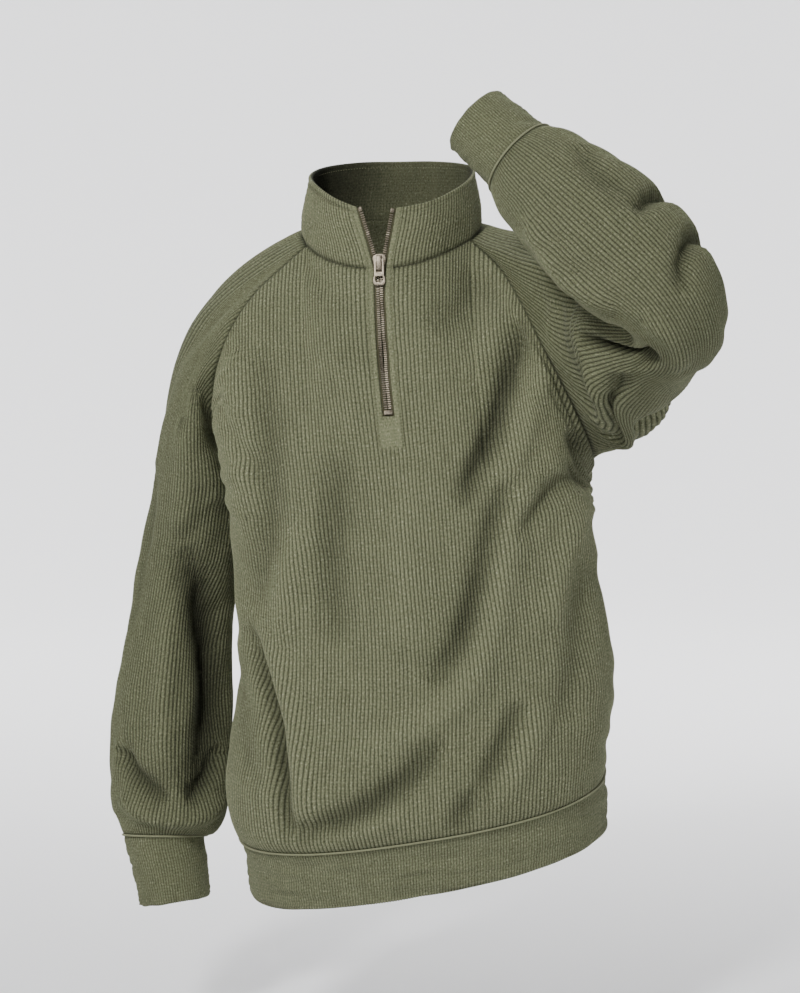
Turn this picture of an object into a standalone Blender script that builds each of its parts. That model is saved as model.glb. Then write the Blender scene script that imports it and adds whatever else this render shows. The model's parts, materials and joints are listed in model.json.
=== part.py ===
"""Quarter zip sweater in ribbed knit, hollow, in the pose of a wearer whose left arm is raised and bent.

Frame: metres, +Z up, the garment faces -Y, the wearer's left is +X. The origin is the middle of the neck
opening at its base, where the wearer's shoulders carry it. Every cloth piece is a thin wall that runs
over rings, seam lines and soft folds worked out below.
"""
import math

import bmesh
import bpy
import mathutils
import numpy as np

MM = 0.001

# ---------------------------------------------------------------- driving dimensions, in millimetres
WALL = 2.6            # knit thickness under the ribs
COLLAR_WALL = 3.0
BAND_WALL = 2.8
RIB_RISE = 1.5        # height of a rib over its groove
FINE_RIB_RISE = 0.7   # ribs of cuffs and waistband
SEAM_GAP = 0.3
BODY_TOP_RING = -290.0    # the rings of the body end here, and the panels run on to their seams
BAND_SEAM = -600.0
BAND_BOTTOM = -657.0
SLIT_HALF = 6.0           # half the opening that the zip fills
SLIT_SHARE = 0.41         # the slit's bottom, as a share of the stretch from the top ring to the neck
PLACKET_RISE = 1.0        # folded edges beside the zip
SEAM_SHARE = {"right": 0.60, "left": 0.52}   # place of the side seam on half a ring, from the front middle

# ---------------------------------------------------------------- cells along each shared line
NECK_CELLS = 10           # on each half of the front's and of the back's neck
RAGLAN_CELLS = 24
SHOULDER_CELLS = 8
BODY_LOW_ROWS = 10
BODY_ROWS_UNDER_SLIT = 3
BODY_ROWS_BESIDE_SLIT = 5
HANGING_TUBE_ROWS = 12
FOREARM_ROWS = 5
ELBOW_ROWS = 6
UPPER_ARM_ROWS = 1
CAP_ROWS = {"right": 4, "left": 6}
COLLAR_ROWS = 4
BAND_ROWS = 2

# ---------------------------------------------------------------- body rings, in millimetres
# height, middle x, right side x, left side x, y of the widest place, front y, back y,
# roundness of the front and of the back, rise per millimetre to the left and to the back
TORSO_COLUMNS = ("z", "middle", "right", "left", "wide", "front", "back", "nf", "nb", "tilt_x", "tilt_y")
TORSO = np.array([
    (-675, 38, -148, 228, -10, -128, 108, 2.4, 2.2, 0.195, 0.17),
    (-635, 37, -152, 229, -10, -138, 116, 2.4, 2.2, 0.190, 0.16),
    (-608, 36, -156, 227, -12, -144, 122, 2.4, 2.2, 0.180, 0.14),
    (-585, 35, -168, 226, -14, -157, 132, 2.4, 2.2, 0.158, 0.12),
    (-555, 33, -173, 229, -18, -158, 132, 2.4, 2.2, 0.120, 0.09),
    (-520, 32, -168, 233, -24, -153, 126, 2.4, 2.1, 0.070, 0.05),
    (-460, 32, -161, 234, -30, -148, 118, 2.4, 2.0, 0.040, 0.02),
    (-400, 29, -158, 226, -34, -145, 112, 2.4, 2.0, 0.020, 0.00),
    (-340, 24, -162, 217, -34, -143, 112, 2.4, 2.0, 0.000, 0.00),
    (-290, 20, -168, 212, -32, -142, 116, 2.4, 2.0, 0.000, 0.00),
    (-250, 16, -174, 212, -30, -141, 119, 2.4, 2.0, 0.000, 0.00),
])

# ---------------------------------------------------------------- seam lines, in millimetres
NECK_FRONT = {"right": [(-5, -82, -36), (-38, -76, -33), (-70, -54, -23), (-87, -32, -12)],
              "left": [(-5, -82, -36), (28, -78, -31), (62, -58, -19), (85, -32, -6)]}
NECK_SIDE = {"right": [(-87, -32, -12), (-94, -4, 0), (-91, 18, 6), (-80, 38, 10)],
             "left": [(85, -32, -6), (93, -4, 5), (90, 18, 11), (80, 38, 14)]}
NECK_BACK = {"right": [(-80, 38, 10), (-58, 58, 13), (-30, 70, 15), (0, 74, 16)],
             "left": [(80, 38, 14), (58, 58, 15), (30, 70, 16), (0, 74, 16)]}
RAGLAN_FRONT = {"right": [(-87, -32, -12), (-112, -50, -36), (-134, -66, -58), (-155, -76, -88),
                          (-170, -76, -120), (-180, -58, -156), (-174, -18, -196), (-150, 34, -226)],
                "left": [(85, -32, -6), (116, -58, -34), (140, -88, -70), (162, -106, -112),
                         (186, -100, -158), (207, -64, -206), (214, -12, -236)]}
RAGLAN_BACK = {"right": [(-80, 38, 10), (-110, 66, -24), (-136, 88, -66), (-152, 98, -116),
                         (-157, 84, -170), (-150, 34, -226)],
               "left": [(80, 38, 14), (112, 66, -18), (144, 88, -58), (172, 92, -108),
                        (200, 66, -172), (214, -12, -236)]}

# ---------------------------------------------------------------- hanging sleeve, rings from cuff to armhole
# middle x, y, z, half-width sideways, half-width front to back
HANGING = np.array([
    (-240, 26, -723, 38, 36),
    (-246, 30, -685, 41, 39),
    (-252, 34, -653, 45, 43),
    (-250, 38, -633, 60, 54),
    (-247, 43, -597, 65, 60),
    (-247, 50, -552, 65, 62),
    (-245, 55, -505, 63, 61),
    (-241, 60, -455, 58, 58),
    (-235.5, 62, -405, 54.5, 57),
    (-226, 63, -355, 55, 60),
    (-215.5, 60, -310, 54.5, 68),
    (-205, 52, -262, 54, 76),
])
CUFF_RING_HANGING = 2     # row of the table at the cuff's seam

# ---------------------------------------------------------------- raised sleeve
CUFF_END = (98.0, -165.0, 111.0)       # middle of the cuff's opening
FOREARM_WAY = (-0.715, 0.30, 0.625)    # from the elbow to the cuff
UPPER_WAY = (0.50, -0.85, 0.02)        # from the shoulder to the elbow
FOREARM_LENGTH = 240.0
ELBOW_RADIUS = 44.0                   # of the middle line's bend
UPPER_LENGTH = 50.0
CROOK_GAP = 7.0                       # least distance from the bend's pivot to the cloth inside the elbow
CROOK_OPENING = 0.28                  # how fast that distance may shrink, per millimetre away from the bend
CROOK_SOFTNESS = 4.0
CUFF_SHARE_RAISED = 0.16              # of the middle line, at the cuff's seam
# share of the sleeve's middle line from the cuff's end, half-width to the underarm side, half-width across
RAISED = np.array([
    (0.00, 36, 36),
    (0.08, 39, 38),
    (0.16, 42, 41),
    (0.20, 48, 49),
    (0.28, 56, 56),
    (0.38, 62, 63),
    (0.50, 62, 66),
    (0.60, 56, 63),
    (0.70, 46, 52),
    (0.80, 42, 46),
    (0.90, 52, 54),
    (1.00, 74, 72),
])


def unit(vectors):
    """Vectors of length 1."""
    vectors = np.asarray(vectors, float)
    return vectors / np.maximum(np.linalg.norm(vectors, axis=-1, keepdims=True), 1e-12)


def smooth(keys, values, at):
    """Values at the places `at` on a smooth curve through the table's keys and values."""
    keys = np.asarray(keys, float)
    values = np.asarray(values, float).reshape(len(keys), -1)
    slopes = np.gradient(values, keys, axis=0)
    at = np.clip(np.atleast_1d(np.asarray(at, float)), keys[0], keys[-1])
    row = np.clip(np.searchsorted(keys, at, side="right") - 1, 0, len(keys) - 2)
    span = (keys[row + 1] - keys[row])[:, None]
    u = (at - keys[row])[:, None] / span
    return ((2 * u**3 - 3 * u**2 + 1) * values[row] + (u**3 - 2 * u**2 + u) * span * slopes[row]
            + (3 * u**2 - 2 * u**3) * values[row + 1] + (u**3 - u**2) * span * slopes[row + 1])


def run_lengths(points):
    """Length along a line of points, from its first point to each."""
    steps = np.linalg.norm(np.diff(points, axis=0), axis=1)
    return np.concatenate([[0.0], np.cumsum(steps)])


def along(points, shares, dense=300):
    """Points at shares of the length of the smooth curve through the points."""
    points = np.asarray(points, float)
    keys = run_lengths(points)
    fine = smooth(keys, points, np.linspace(0, keys[-1], dense))
    run = run_lengths(fine)
    at = np.asarray(shares, float) * run[-1]
    return np.stack([np.interp(at, run, fine[:, k]) for k in range(3)], axis=-1)


def half_ring(height, side, shares):
    """Points at shares of one half of a body ring, from the front middle to the back middle."""
    row = dict(zip(TORSO_COLUMNS[1:], smooth(TORSO[:, 0], TORSO[:, 1:], height)[0]))
    turn = np.linspace(0, math.pi, 241)
    front = turn < math.pi / 2
    power = 2 / np.where(front, row["nf"], row["nb"])
    depth = np.where(front, row["wide"] - row["front"], row["back"] - row["wide"])
    x = row["middle"] + (row[side] - row["middle"]) * np.sin(turn)**power
    y = row["wide"] - depth * np.sign(np.cos(turn)) * np.abs(np.cos(turn))**power
    run = run_lengths(np.stack([x, y], axis=-1))
    at = np.asarray(shares, float) * run[-1]
    px = np.interp(at, run, x)
    py = np.interp(at, run, y)
    rise = row["tilt_x"] * (px - (row["right"] + row["left"]) / 2)
    rise = rise + row["tilt_y"] * (py - (row["front"] + row["back"]) / 2)
    return np.stack([px, py, height + rise], axis=-1)


def bezier(start, start_way, end, end_way, steps, start_pull=1 / 3, end_pull=1 / 3):
    """Cubic curves from start to end, one for each pair of rows, read at the steps: (steps, rows, 3)."""
    reach = np.linalg.norm(end - start, axis=-1, keepdims=True)
    second = start + unit(start_way) * reach * start_pull
    third = end - unit(end_way) * reach * end_pull
    t = np.asarray(steps, float)[:, None, None]
    return (1 - t)**3 * start + 3 * (1 - t)**2 * t * second + 3 * (1 - t) * t**2 * third + t**3 * end


# ---------------------------------------------------------------- the body's grid
def row_shares(low_rows, high_rows_under, high_rows_over, slit_share):
    """Heights of the rows under the top ring, and shares of the stretch above it, with a row at the slit."""
    low = np.linspace(BAND_SEAM, BODY_TOP_RING, low_rows + 1)
    high = np.concatenate([np.linspace(0, slit_share, high_rows_under + 1),
                           np.linspace(slit_share, 1, high_rows_over + 1)[1:]])
    return low, high[1:]


TOP_WAYS_FRONT = [(0.0, (0.0, 0.17, 0.985)), (0.3, (0.0, 0.62, 0.78)), (0.55, (0.0, 0.45, 0.88)),
                  (0.8, (0.0, 0.22, 0.95)), (1.0, (0.0, 0.0, 1.0))]
TOP_WAYS_BACK = [(0.0, (0.0, -0.36, 0.93)), (0.3, (0.0, -0.60, 0.80)), (0.55, (0.0, -0.35, 0.93)),
                 (0.8, (0.0, -0.15, 0.98)), (1.0, (0.0, 0.0, 1.0))]
NECK_CORNER_SHARE = {("front", "right"): 0.164, ("front", "left"): 0.180,
                     ("back", "right"): 0.170, ("back", "left"): 0.170}


def panel_half(face, side, neck_cells, raglan_cells, low, high):
    """Grid of one half of the front or back: (rows, columns, 3), from the middle to the side seam."""
    neck_line = (NECK_FRONT if face == "front" else NECK_BACK)[side]
    raglan_line = (RAGLAN_FRONT if face == "front" else RAGLAN_BACK)[side]
    corner = NECK_CORNER_SHARE[face, side]
    seam = SEAM_SHARE[side]
    if face == "front":
        neck = np.array(neck_line, float)
        first = SLIT_HALF / run_lengths(neck)[-1]
        slit = SLIT_HALF / 500.0
        neck_at = np.concatenate([[0.0], np.linspace(first, 1, neck_cells + 1)])
        ring_at = np.concatenate([[0.0], np.linspace(slit, corner, neck_cells + 1)])
        ring_at = np.concatenate([ring_at, np.linspace(corner, seam, raglan_cells + 1)[1:]])
    else:
        neck = np.array(neck_line[::-1], float)
        neck_at = np.linspace(0, 1, neck_cells + 1)
        ring_at = np.linspace(0, corner, neck_cells + 1)
        ring_at = 1 - np.concatenate([ring_at, np.linspace(corner, 1 - seam, raglan_cells + 1)[1:]])
    top = np.concatenate([along(neck, neck_at), along(raglan_line, np.linspace(0, 1, raglan_cells + 1)[1:])])
    rings = np.stack([half_ring(height, side, ring_at) for height in low])
    start_way = rings[-1] - rings[-2]
    keys = np.concatenate([np.linspace(0, 0.3, len(neck_at)), np.linspace(0.3, 1, raglan_cells + 1)[1:]])
    ways = TOP_WAYS_FRONT if face == "front" else TOP_WAYS_BACK
    end_way = smooth([k for k, _ in ways], [w for _, w in ways], keys)
    upper = bezier(rings[-1], start_way, top, end_way, high)
    return np.concatenate([rings, upper])


def body_grid(neck_cells, back_cells, raglan_cells, low, high):
    """Closed grid of the whole body, its columns from the right side seam over the front and round the back."""
    front_right = panel_half("front", "right", neck_cells, raglan_cells, low, high)
    front_left = panel_half("front", "left", neck_cells, raglan_cells, low, high)
    back_left = panel_half("back", "left", back_cells, raglan_cells, low, high)
    back_right = panel_half("back", "right", back_cells, raglan_cells, low, high)
    middle = (front_right[:, :1] + front_left[:, :1]) / 2
    front = np.concatenate([front_right[:, :0:-1], middle, front_left[:, 1:]], axis=1)
    middle = (back_left[:, :1] + back_right[:, :1]) / 2
    back = np.concatenate([back_left[:, :0:-1], middle, back_right[:, 1:]], axis=1)
    return front, back


# ---------------------------------------------------------------- sleeves
def turned_frames(ways, first):
    """Cross directions carried along a line of ways without twist, starting from the direction `first`."""
    ways = unit(ways)
    cross = [unit(np.asarray(first, float) - np.dot(first, ways[0]) * ways[0])]
    for before, after in zip(ways, ways[1:]):
        axis = np.cross(before, after)
        turned = cross[-1] + np.cross(axis, cross[-1]) + np.cross(axis, np.cross(axis, cross[-1])) / 2
        cross.append(unit(turned - np.dot(turned, after) * after))
    return np.array(cross)


def elbow():
    """The raised sleeve's bend: its pivot, the way from the forearm to it, and its angle."""
    to_cuff, to_elbow = unit(FOREARM_WAY), unit(UPPER_WAY)
    inner = unit(-to_elbow - np.dot(-to_elbow, to_cuff) * to_cuff)
    pivot = np.array(CUFF_END) - to_cuff * FOREARM_LENGTH + inner * ELBOW_RADIUS
    turn = math.pi - math.acos(np.dot(to_cuff, -to_elbow))
    return pivot, inner, turn


def raised_line(shares):
    """Middle line of the raised sleeve from the cuff's end to the armhole, at shares of its length."""
    to_cuff, to_elbow = unit(FOREARM_WAY), unit(UPPER_WAY)
    pivot, inner, turn = elbow()
    angles = np.linspace(0, turn, 60)
    arc = pivot + ELBOW_RADIUS * (-inner * np.cos(angles)[:, None] - to_cuff * np.sin(angles)[:, None])
    straight = CUFF_END - to_cuff * np.linspace(0, FOREARM_LENGTH, 60)[:, None]
    upper = arc[-1] - to_elbow * np.linspace(0, UPPER_LENGTH, 40)[:, None]
    line = np.concatenate([straight, arc[1:], upper[1:]])
    run = run_lengths(line)
    at = np.asarray(shares) * run[-1]
    return np.stack([np.interp(at, run, line[:, k]) for k in range(3)], axis=-1)


def bend_shares():
    """Shares of the raised sleeve's middle line at the two ends of its bend."""
    bend = ELBOW_RADIUS * elbow()[2]
    whole = FOREARM_LENGTH + bend + UPPER_LENGTH
    return FOREARM_LENGTH / whole, (FOREARM_LENGTH + bend) / whole, whole


def spread(shares, dense, table):
    """Rows of a dense table, read at shares of a middle line."""
    return np.stack([np.interp(shares, dense, table[:, k]) for k in range(table.shape[1])], axis=-1)


def spokes_round(ways, one, over, widths, turns):
    """Ring points less the ring's middle: (rings, turns, 3). `over` is the sign of the second cross direction."""
    two = np.cross(unit(ways), one) * over
    c, s = np.cos(turns)[None, :, None], np.sin(turns)[None, :, None]
    return widths[:, None, :1] * one[:, None] * c + widths[:, None, 1:2] * two[:, None] * s


def hanging_rings(shares, turns):
    """Rings of the hanging sleeve at shares of its middle line from the cuff's end."""
    run = run_lengths(HANGING[:, :3])
    dense = np.linspace(0, 1, 240)
    ways = np.gradient(smooth(run, HANGING[:, :3], dense * run[-1]), axis=0)
    one = unit(spread(shares, dense, turned_frames(ways, (1.0, -0.15, 0.0))))
    rows = smooth(run, HANGING, np.asarray(shares) * run[-1])
    return rows[:, None, :3] + spokes_round(spread(shares, dense, ways), one, -1, rows[:, 3:], turns)


def raised_rings(shares, turns):
    """Rings of the raised sleeve, kept clear of the bend's pivot inside the elbow."""
    dense = np.linspace(0, 1, 240)
    line = raised_line(dense)
    # the cross direction is set at the armhole, where it points down to the underarm
    ways = np.gradient(line, axis=0)
    cross = turned_frames(ways[::-1], (0.15, 0.1, -1.0))[::-1]
    ways = spread(shares, dense, ways)
    one = unit(spread(shares, dense, cross))
    spokes = spokes_round(ways, one, 1, smooth(RAISED[:, 0], RAISED[:, 1:], shares), turns)
    middle = raised_line(shares)
    pivot, inner, _ = elbow()
    start, end, whole = bend_shares()
    plane = unit(np.cross(inner, FOREARM_WAY))
    to_pivot = unit(np.cross(plane, unit(ways)))
    to_pivot *= np.sign(np.sum(to_pivot * (pivot - middle), axis=-1))[:, None]
    away = np.maximum(np.maximum(start - shares, shares - end), 0) * whole
    limit = (ELBOW_RADIUS - CROOK_GAP + away * CROOK_OPENING)[:, None]
    reach = np.sum(spokes * to_pivot[:, None], axis=-1)
    kept = limit - CROOK_SOFTNESS * np.log1p(np.exp((limit - reach) / CROOK_SOFTNESS))
    return middle[:, None] + spokes + (kept - reach)[..., None] * to_pivot[:, None]


CAP_WAYS = {"right": [(0.0, (0.5, -0.3, 0.8)), (0.12, (0.75, -0.35, 0.6)), (0.3, (0.8, -0.1, 0.6)),
                      (0.44, (0.88, 0.1, 0.46)), (0.5, (0.93, 0.0, 0.37)), (0.56, (0.88, -0.1, 0.46)),
                      (0.7, (0.8, 0.1, 0.6)), (0.88, (0.75, 0.1, 0.6)), (1.0, (0.5, -0.3, 0.8))],
            "left": [(0.0, (-0.30, 0.45, -0.75)), (0.05, (-0.8, 0.3, 0.1)), (0.10, (-0.80, 0.1, 0.45)),
                     (0.2, (-0.72, 0.12, 0.62)), (0.3, (-0.7, 0.3, 0.6)), (0.44, (-0.8, 0.5, 0.35)),
                     (0.5, (-0.93, 0.2, 0.25)), (0.56, (-0.9, -0.2, 0.35)), (0.7, (-0.95, 0.0, 0.2)),
                     (0.88, (-0.8, 0.1, -0.4)), (1.0, (-0.30, 0.45, -0.75))]}
# share round the sleeve, reach of the cap's curves where they leave the sleeve and where they meet the armhole
CAP_PULLS = {"right": np.array([(0.0, 0.3, 0.4), (0.3, 0.3, 0.4), (0.46, 0.3, 0.55), (0.56, 0.3, 0.45), (0.66, 0.3, 0.4),
                                (1.0, 0.3, 0.4)]),
             "left": np.array([(0.0, 0.45, 0.4), (0.05, 0.4, 0.7), (0.12, 0.25, 1.0), (0.22, 0.2, 1.15),
                               (0.32, 0.22, 0.8), (0.42, 0.3, 0.4), (1.0, 0.3, 0.4)])}


def armhole(side, raglan_cells, shoulder_cells):
    """Closed line of the sleeve's top: underarm, front raglan seam, neck, back raglan seam, underarm."""
    front = along(RAGLAN_FRONT[side], np.linspace(0, 1, raglan_cells + 1))[::-1]
    neck = along(NECK_SIDE[side], np.linspace(0, 1, shoulder_cells + 1))
    back = along(RAGLAN_BACK[side], np.linspace(0, 1, raglan_cells + 1))
    return np.concatenate([front, neck[1:], back[1:]])


def sleeve_grid(side, raglan_cells, shoulder_cells, tube_shares, cap_steps):
    """Grid of a sleeve: rings from the cuff's seam, then a cap up to the armhole's seam."""
    cells = 2 * raglan_cells + shoulder_cells
    turns = np.linspace(0, 2 * math.pi, cells + 1)
    rings = (hanging_rings if side == "right" else raised_rings)(tube_shares, turns)
    top = armhole(side, raglan_cells, shoulder_cells)
    ways, pulls = CAP_WAYS[side], CAP_PULLS[side]
    columns = np.linspace(0, 1, cells + 1)
    end_way = smooth([k for k, _ in ways], [w for _, w in ways], columns)
    start_pull, end_pull = (np.interp(columns, pulls[:, 0], pulls[:, k])[:, None] for k in (1, 2))
    cap = bezier(rings[-1], rings[-1] - rings[-2], top, end_way, cap_steps[1:], start_pull, end_pull)
    return np.concatenate([rings, cap])


# ---------------------------------------------------------------- collar
# rim of the collar, in millimetres, from its right end round the back to its left end
RIM = [(-30, -78, 27), (-52, -71, 36), (-76, -45, 51), (-86, -6, 62), (-74, 40, 72), (-42, 62, 77), (0, 68, 78),
       (42, 62, 78), (76, 40, 74), (86, -6, 63), (72, -48, 47), (42, -73, 32), (12, -80, 26)]
COLLAR_LEAN = 0.12
COLLAR_EDGE_REACH = 16.0    # how far from the front edges the collar follows the zip


def neck_line(neck_cells, shoulder_cells, back_cells):
    """Neck seam from the slit's right edge round the back to its left edge, at the columns of the pieces on it."""
    lines = []
    for side in ("right", "left"):
        front = np.array(NECK_FRONT[side], float)
        first = SLIT_HALF / run_lengths(front)[-1]
        line = [along(front, np.linspace(first, 1, neck_cells + 1)),
                along(NECK_SIDE[side], np.linspace(0, 1, shoulder_cells + 1))[1:],
                along(NECK_BACK[side], np.linspace(0, 1, back_cells + 1))[1:]]
        lines.append(np.concatenate(line))
    return np.concatenate([lines[0], lines[1][-2::-1]])


def collar_grid(neck_cells, shoulder_cells, back_cells, steps):
    """Grid of the collar from the neck's seam to its rim; its two front edges run straight, with the zip."""
    base = neck_line(neck_cells, shoulder_cells, back_cells)
    run = run_lengths(base)
    rim = along(RIM, run / run[-1])
    out = unit(base * (1, 1, 0))
    edge = np.exp(-np.minimum(run, run[-1] - run) / COLLAR_EDGE_REACH)[:, None]
    straight = unit(rim - base)
    start_way = (1 - edge) * (out * COLLAR_LEAN + (0, 0, 1.0)) + edge * straight
    end_way = (1 - edge) * (out * -COLLAR_LEAN + (0, 0, 1.0)) + edge * straight
    return bezier(base, start_way, rim, end_way, steps, 0.4, 0.4)


# ---------------------------------------------------------------- waistband and cuffs
def band_grid(neck_cells, back_cells, raglan_cells, heights):
    """Grid of the waistband, its columns from the back middle over the right side, the front and the left."""
    shares = {}
    for side in ("right", "left"):
        corner = NECK_CORNER_SHARE["front", side]
        slit = SLIT_HALF / 500.0
        front = np.concatenate([[0.0], np.linspace(slit, corner, neck_cells + 1),
                                np.linspace(corner, SEAM_SHARE[side], raglan_cells + 1)[1:]])
        corner = NECK_CORNER_SHARE["back", side]
        back = 1 - np.concatenate([np.linspace(0, corner, back_cells + 1),
                                   np.linspace(corner, 1 - SEAM_SHARE[side], raglan_cells + 1)[1:]])
        shares[side] = np.concatenate([front, back[-2::-1]])
    rows = []
    for height in heights:
        right = half_ring(height, "right", shares["right"])
        left = half_ring(height, "left", shares["left"])
        rows.append(np.concatenate([right[::-1], left[1:]]))
    return np.stack(rows)


# ---------------------------------------------------------------- walls
BODY_HEART = np.array([10.0, 0.0, -230.0])    # the shared normals at the neck and armhole seams point away
BODY_REACH = np.array([220.0, 150.0, 400.0])  # from the heart, as on an egg with these half-axes


def seam_normals(points):
    """Outward directions that all pieces share where they meet at the neck and armhole seams."""
    return unit((points - BODY_HEART) / BODY_REACH**2)


def loop_normals(loop):
    """Outward directions in the plane of a closed ring of points."""
    middle = loop[:-1].mean(axis=0)
    spokes = loop - middle
    plane = unit(np.cross(spokes[:-1], spokes[1:]).sum(axis=0))
    around = np.concatenate([loop[-2:-1], loop, loop[1:2]])
    out = unit(np.cross(around[2:] - around[:-2], plane))
    return out * np.sign(np.sum(out * spokes, axis=-1).mean())


def grid_normals(grid, closed, sign):
    """Directions square to a grid, by the differences of its neighbours."""
    if closed:
        wrapped = np.concatenate([grid[:, -2:-1], grid, grid[:, 1:2]], axis=1)
        across = wrapped[:, 2:] - wrapped[:, :-2]
    else:
        across = np.gradient(grid, axis=1)
    return unit(np.cross(across, np.gradient(grid, axis=0))) * sign


def drawn_back(edge, inner, normals):
    """How far each point of a seam moves into its own piece, half the gap square to the seam."""
    square = unit(np.cross(np.gradient(edge, axis=0), normals))
    towards = np.sign(np.sum(square * (inner - edge)))
    return square * towards * SEAM_GAP / 2


def draw_back_row(grid, normals, row, cuts, closed=False):
    """Draws back one end row of a grid, one seam at a time between the column cuts."""
    inner = row + 1 if row == 0 else row - 1
    shift = np.zeros_like(grid[row])
    for first, last in zip(cuts, cuts[1:]):
        part = slice(first, last + 1)
        shift[part] += drawn_back(grid[row, part], grid[inner, part], normals[row, part])
    if closed:
        both = shift[0] + shift[-1]
        reach = np.linalg.norm(both)
        both *= min(1.0, SEAM_GAP / reach)
        shift[0] = both
        shift[-1] = both
    grid[row] += shift


def draw_back_column(grid, normals, column):
    """Draws back one end column of a grid."""
    inner = column + 1 if column == 0 else column - 1
    grid[:, column] += drawn_back(grid[:, column], grid[:, inner], normals[:, column])


def rib_heights(rows, columns, rise, faded_ends=True):
    """Height of the outer wall over its grooves: each odd column is the crest of a rib."""
    heights = np.zeros((rows, columns))
    heights[:, 1::2] = rise
    if faded_ends:
        heights[[0, -1]] *= 0.4
    return heights


def wall_mesh(name, outer, inner, present, closed):
    """One closed body between an outer grid and an inner one with half its columns."""
    rows, columns = outer.shape[:2]
    cells = (columns - 1) // 2
    if closed:
        outer, inner = outer[:, :-1], inner[:, :-1]
    wide, narrow = outer.shape[1], inner.shape[1]
    points = np.concatenate([outer.reshape(-1, 3), inner.reshape(-1, 3)]) * MM
    base = rows * wide

    def out(r, c):
        return r * wide + c % wide

    def into(r, c):
        return base + r * narrow + c % narrow

    faces = []
    for r in range(rows - 1):
        for c in range(cells):
            if not present[r, c]:
                continue
            a = 2 * c
            faces.append((out(r, a), out(r, a + 1), out(r + 1, a + 1), out(r + 1, a)))
            faces.append((out(r, a + 1), out(r, a + 2), out(r + 1, a + 2), out(r + 1, a + 1)))
            faces.append((into(r, c), into(r + 1, c), into(r + 1, c + 1), into(r, c + 1)))
            if r == 0 or not present[r - 1, c]:
                faces.append((into(r, c), into(r, c + 1), out(r, a + 2), out(r, a + 1), out(r, a)))
            if r == rows - 2 or not present[r + 1, c]:
                faces.append((out(r + 1, a), out(r + 1, a + 1), out(r + 1, a + 2), into(r + 1, c + 1), into(r + 1, c)))
            if not closed and (c == 0 or not present[r, c - 1]):
                faces.append((out(r, a), out(r + 1, a), into(r + 1, c), into(r, c)))
            if not closed and (c == cells - 1 or not present[r, c + 1]):
                faces.append((out(r, a + 2), into(r, c + 1), into(r + 1, c + 1), out(r + 1, a + 2)))
    used = np.unique([index for face in faces for index in face])
    renumbered = {old: new for new, old in enumerate(used)}
    mesh = bpy.data.meshes.new(name)
    mesh.from_pydata(points[used].tolist(), [], [[renumbered[index] for index in face] for face in faces])
    build = bmesh.new()
    build.from_mesh(mesh)
    bmesh.ops.recalc_face_normals(build, faces=build.faces)
    bmesh.ops.triangulate(build, faces=[face for face in build.faces if len(face.verts) > 4])
    build.to_mesh(mesh)
    build.free()
    return mesh


def add_object(name, mesh, material):
    """A mesh as a named object with its material."""
    mesh.materials.append(material)
    mesh.shade_smooth()
    mesh.set_sharp_from_angle(angle=math.radians(50))
    made = bpy.data.objects.new(name, mesh)
    bpy.context.scene.collection.objects.link(made)
    return made


def cloth(name, grid, normals, material, wall, rise, closed, heights=None, present=None):
    """A cloth piece: ribs over the grid, and the plain inside one wall's thickness under it."""
    rows, columns = grid.shape[:2]
    if heights is None:
        heights = rib_heights(rows, columns, rise)
    if present is None:
        present = np.ones((rows - 1, (columns - 1) // 2), bool)
    outer = grid + normals * heights[..., None]
    inner = (grid - normals * wall)[:, ::2]
    return add_object(name, wall_mesh(name, outer, inner, present, closed), material)


# ---------------------------------------------------------------- folds
# each fold: its line as x, z on the front or back, its half-width and its height, under 0 for a trough
FRONT_FOLDS = [
    ([(158, -92), (128, -190), (103, -262), (92, -365), (66, -440)], 20, -14),
    ([(172, -100), (150, -188), (130, -275), (108, -370), (80, -455)], 22, 9),
    ([(80, -450), (10, -510), (-75, -572)], 26, 8),
    ([(30, -535), (-20, -566), (-85, -590)], 20, -8),
    ([(150, -460), (125, -510), (95, -560)], 22, -7),
    ([(-146, -405), (-128, -465), (-106, -530), (-92, -590)], 13, -10),
    ([(-158, -450), (-150, -515), (-138, -570)], 18, 7),
    ([(-160, -130), (-138, -215), (-112, -320), (-95, -420)], 26, 7),
    ([(-30, -195), (-36, -290), (-45, -400)], 24, -6),
    ([(105, -38), (98, -62), (72, -95)], 11, -5),
    ([(135, -48), (112, -80), (62, -150)], 16, 5),
    ([(22, -240), (10, -330), (-5, -430)], 24, 5),
    ([(198, -240), (165, -268), (130, -305)], 13, -6),
]
BACK_FOLDS = [
    ([(150, -150), (90, -260), (30, -380)], 26, -8),
    ([(-130, -170), (-90, -260), (-60, -380)], 26, -6),
    ([(100, -400), (40, -480), (-60, -545)], 26, 8),
    ([(-120, -420), (-90, -500), (-40, -565)], 20, -8),
    ([(60, -90), (40, -180), (0, -260)], 28, 6),
    ([(170, -320), (150, -420), (110, -510)], 22, -8),
    ([(-20, -330), (-25, -430), (-20, -520)], 24, 5),
]
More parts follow.
